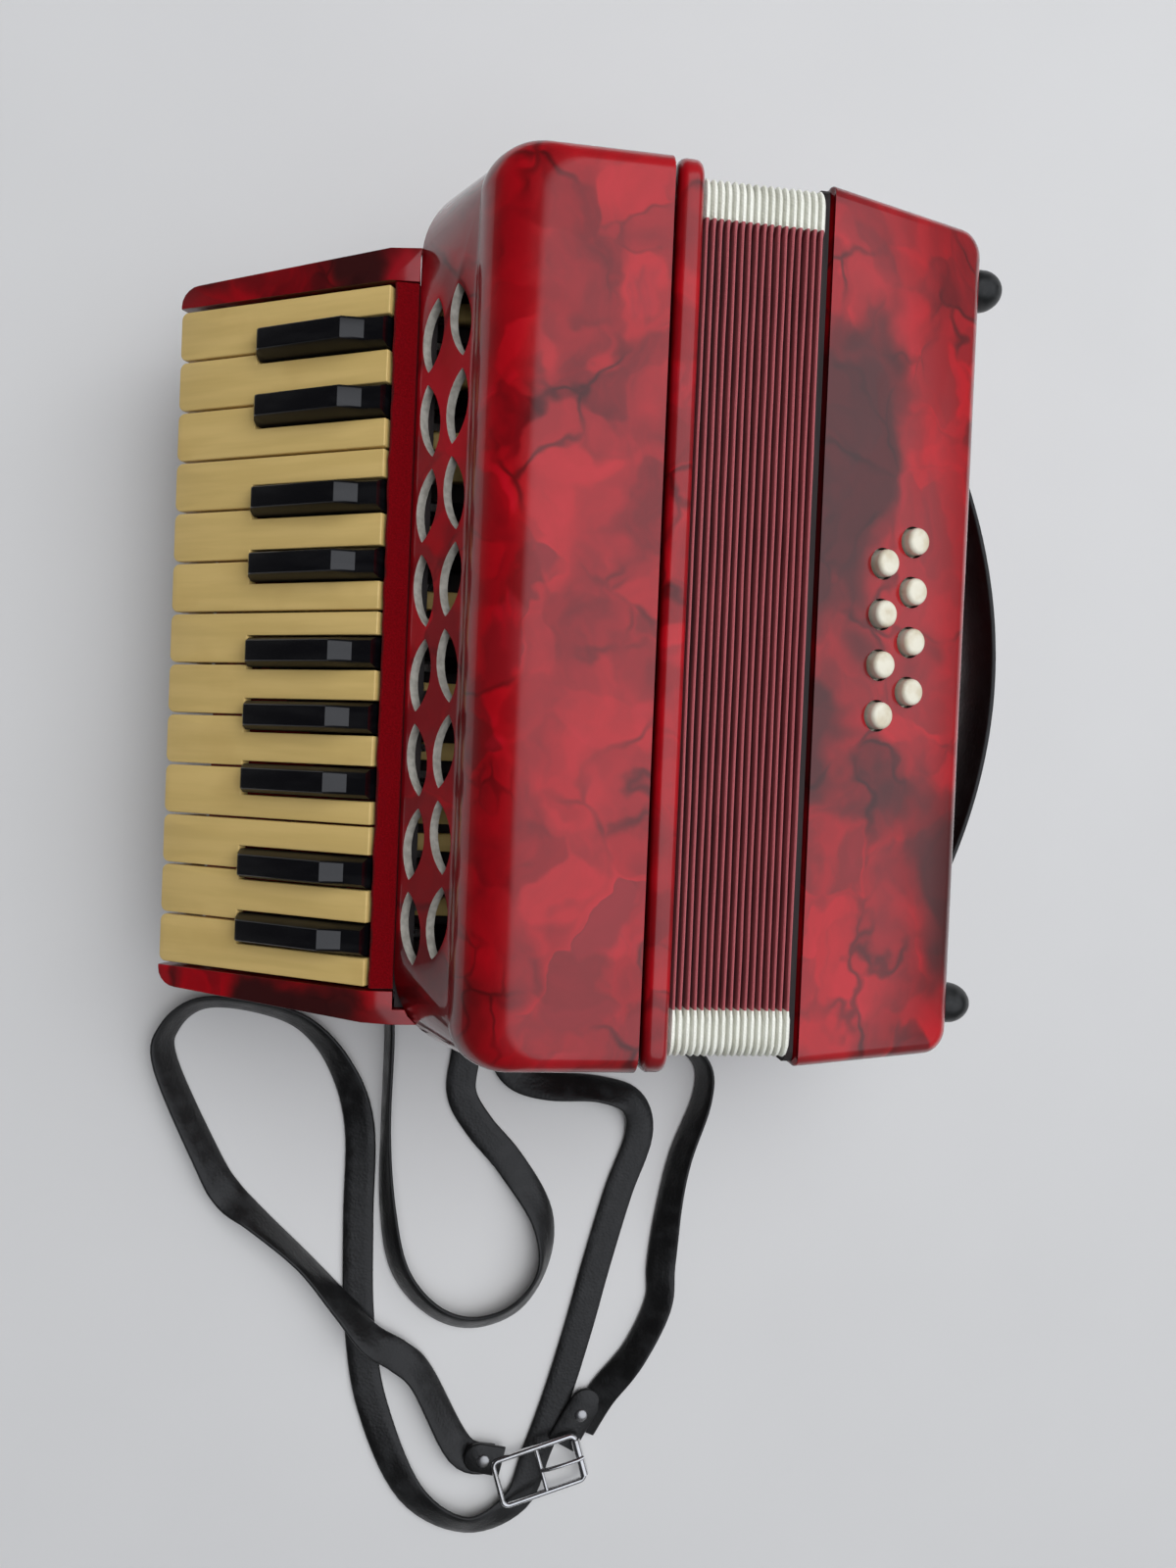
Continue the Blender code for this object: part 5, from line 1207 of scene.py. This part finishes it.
def makeStrap(name, route, *replaced):
    points, rings = smoothRoute(route, strap["steps"]), []
    w, t = strap["width"] / 2, strap["thick"] / 2
    c = w - strap["edge"]
    section = ((-w, -0.5 * t), (-c, -t), (c, -t), (w, -0.5 * t), (w, 0.5 * t), (c, t),
               (0.4 * w, 1.12 * t), (-0.4 * w, 1.12 * t), (-c, t), (-w, 0.5 * t))
    for i, (x, y, turn, lift) in enumerate(points):
        before, after = points[max(i - 1, 0)], points[min(i + 1, len(points) - 1)]
        heading = Vector((after[0] - before[0], after[1] - before[1], 0)).normalized()
        side, angle = Vector((-heading.y, heading.x, 0)), math.radians(turn)
        across = side * math.cos(angle) + Vector((0, 0, math.sin(angle)))
        through = heading.cross(across)
        height = w * abs(math.sin(angle)) + t * abs(math.cos(angle)) + strap["gap"]
        centre = Vector((x / 1000, y / 1000, height + max(lift, 0) / 1000))
        rings.append([centre + across * a + through * b for a, b in section])
    item = keep(name, loft(rings), leather, sharp=60)
    place(item, "treble", "black_leather", *replaced)


for name, route in routes.items():
    makeStrap("shoulderStrap" + name.title(), route, "shoulder_strap_" + name)


# Buckle, keepers, rivets and brackets
buckle = {"centre": (0.0120, -0.3480), "half": (0.018, 0.010), "wire": 0.0012, "height": 0.0062,
          "turn": 17.0, "corner": 0.0025, "barX": 0.001, "bar": 0.0009, "roller": 0.0019,
          "rollerIn": 0.002, "tongue": 0.0008,
          # along the strap, height; the last two counted from the frame's end
          "tonguePath": ((0.001, 0.0008), (0.004, 0.0017), (0.010, 0.0021)),
          "tongueTip": ((-0.001, 0.0022), (0.0016, 0.0016))}
keeper = {"edge": 0.0004, "topEdge": 0.0005, "thick": 0.0017}
rivets = {"radius": 0.0028, "dome": 0.0011, "sink": 0.0006,
          "places": ((0.0295, -0.3265, 0.0037), (-0.0120, -0.3430, 0.0062))}


def makeBuckle():
    (cx, cy), (a, b), turn = buckle["centre"], buckle["half"], math.radians(buckle["turn"])
    move = Matrix.Translation((cx, cy, buckle["height"])) @ Matrix.Rotation(turn, 4, "Z")
    outline = [(x, y, 0) for x, y in roundedOutline((-a, -b), (a, b), (buckle["corner"],) * 4, 6)]
    frameWire = keep("buckleFrame", wire(outline, buckle["wire"], loop=True), chrome)
    bar = keep("bar", wire([(buckle["barX"], y, 0) for y in (-b, b)], buckle["bar"]), chrome)
    inside, thin, wide = buckle["rollerIn"], buckle["wire"], buckle["roller"]
    length = 2 * b - 2 * inside
    roller = keep("roller", lathe((a, inside - b, 0), (0, 1, 0), [
        (0, thin), (0, wide), (length, wide), (length, thin)]), chrome)
    path = [(x, 0, z) for x, z in buckle["tonguePath"]]
    path += [(a + x, 0, z) for x, z in buckle["tongueTip"]]
    joinAll(frameWire, bar, roller, keep("tongue", wire(path, buckle["tongue"]), chrome))
    frameWire.data.transform(move)
    place(smooth(frameWire, 40), "treble", "bright_chrome", "buckle")


def makeKeeper(name, start, end, width, low):  # short leather tab with a rounded end
    edge, thick, reach = keeper["edge"], keeper["thick"], Vector(end) - Vector(start)
    heading, length, half = reach.normalized(), reach.length, width / 2
    side = Vector((-heading.y, heading.x, 0))
    plan = [(0, -half), (length - half, -half)] + arc((length - half, 0), half, -80, 80, 10)
    plan += [(length - half, half), (0, half)]
    rings = []
    for z, shrink in ((0, edge), (edge, 0), (thick - edge, 0), (thick, keeper["topEdge"])):
        rings.append([Vector((*start[:2], low + z))
                      + heading * (u - (shrink if u > length / 2 else 0))
                      + side * v * (1 - shrink / half) for u, v in plan])
    place(keep(name, loft(rings), leather, sharp=60), "treble", "black_leather")


def makeRivets():
    caps = []
    for order, (x, y, z) in enumerate(rivets["places"]):
        profile = [(-rivets["sink"], rivets["radius"])]
        profile += [(rivets["dome"] * math.sin(t), rivets["radius"] * math.cos(t))
                    for t in [math.pi / 2 * i / 7.5 for i in range(8)]]
        name = "cap" if order else "strapRivets"
        caps.append(keep(name, lathe((x, y, z), (0, 0, 1), profile), steel))
    place(joinAll(*caps), "treble", "steel")


makeBuckle()
makeKeeper("keeperShort", (0.0215, -0.3390, 0), (0.0345, -0.3160, 0), 0.0130, 0.0021)
makeKeeper("keeperLong", (-0.0040, -0.3440, 0), (-0.0200, -0.3405, 0), 0.0125, 0.0046)
makeRivets()
for kind in ("wide", "narrow"):
    name = "strap_bracket_" + kind
    place(copyNode(name, "strapBracket" + kind.title(), steel, 0.0002, 2), "treble", "steel", name)
print("straps and fittings made")


# CAD nodes that show as they are
# painted shade: the soundboard takes the near-black board finish, so its ledge under the cover and
# the floor seen through the grille read as shade
carried = {"treble_soundboard": darkBoardAndShade, "treble_reed_block": boardWood, "key_rail": darkBoardAndShade,
           "key_axle": steel, "key_spring_comb": steel, "bass_frame": darkBoardAndShade,
           "bass_back_plate": pearlBass, "bass_reed_block": boardWood, "button_guide": boardWood}
for name, material in carried.items():
    nodes[name].data.materials.clear()
    nodes[name].data.materials.append(material)
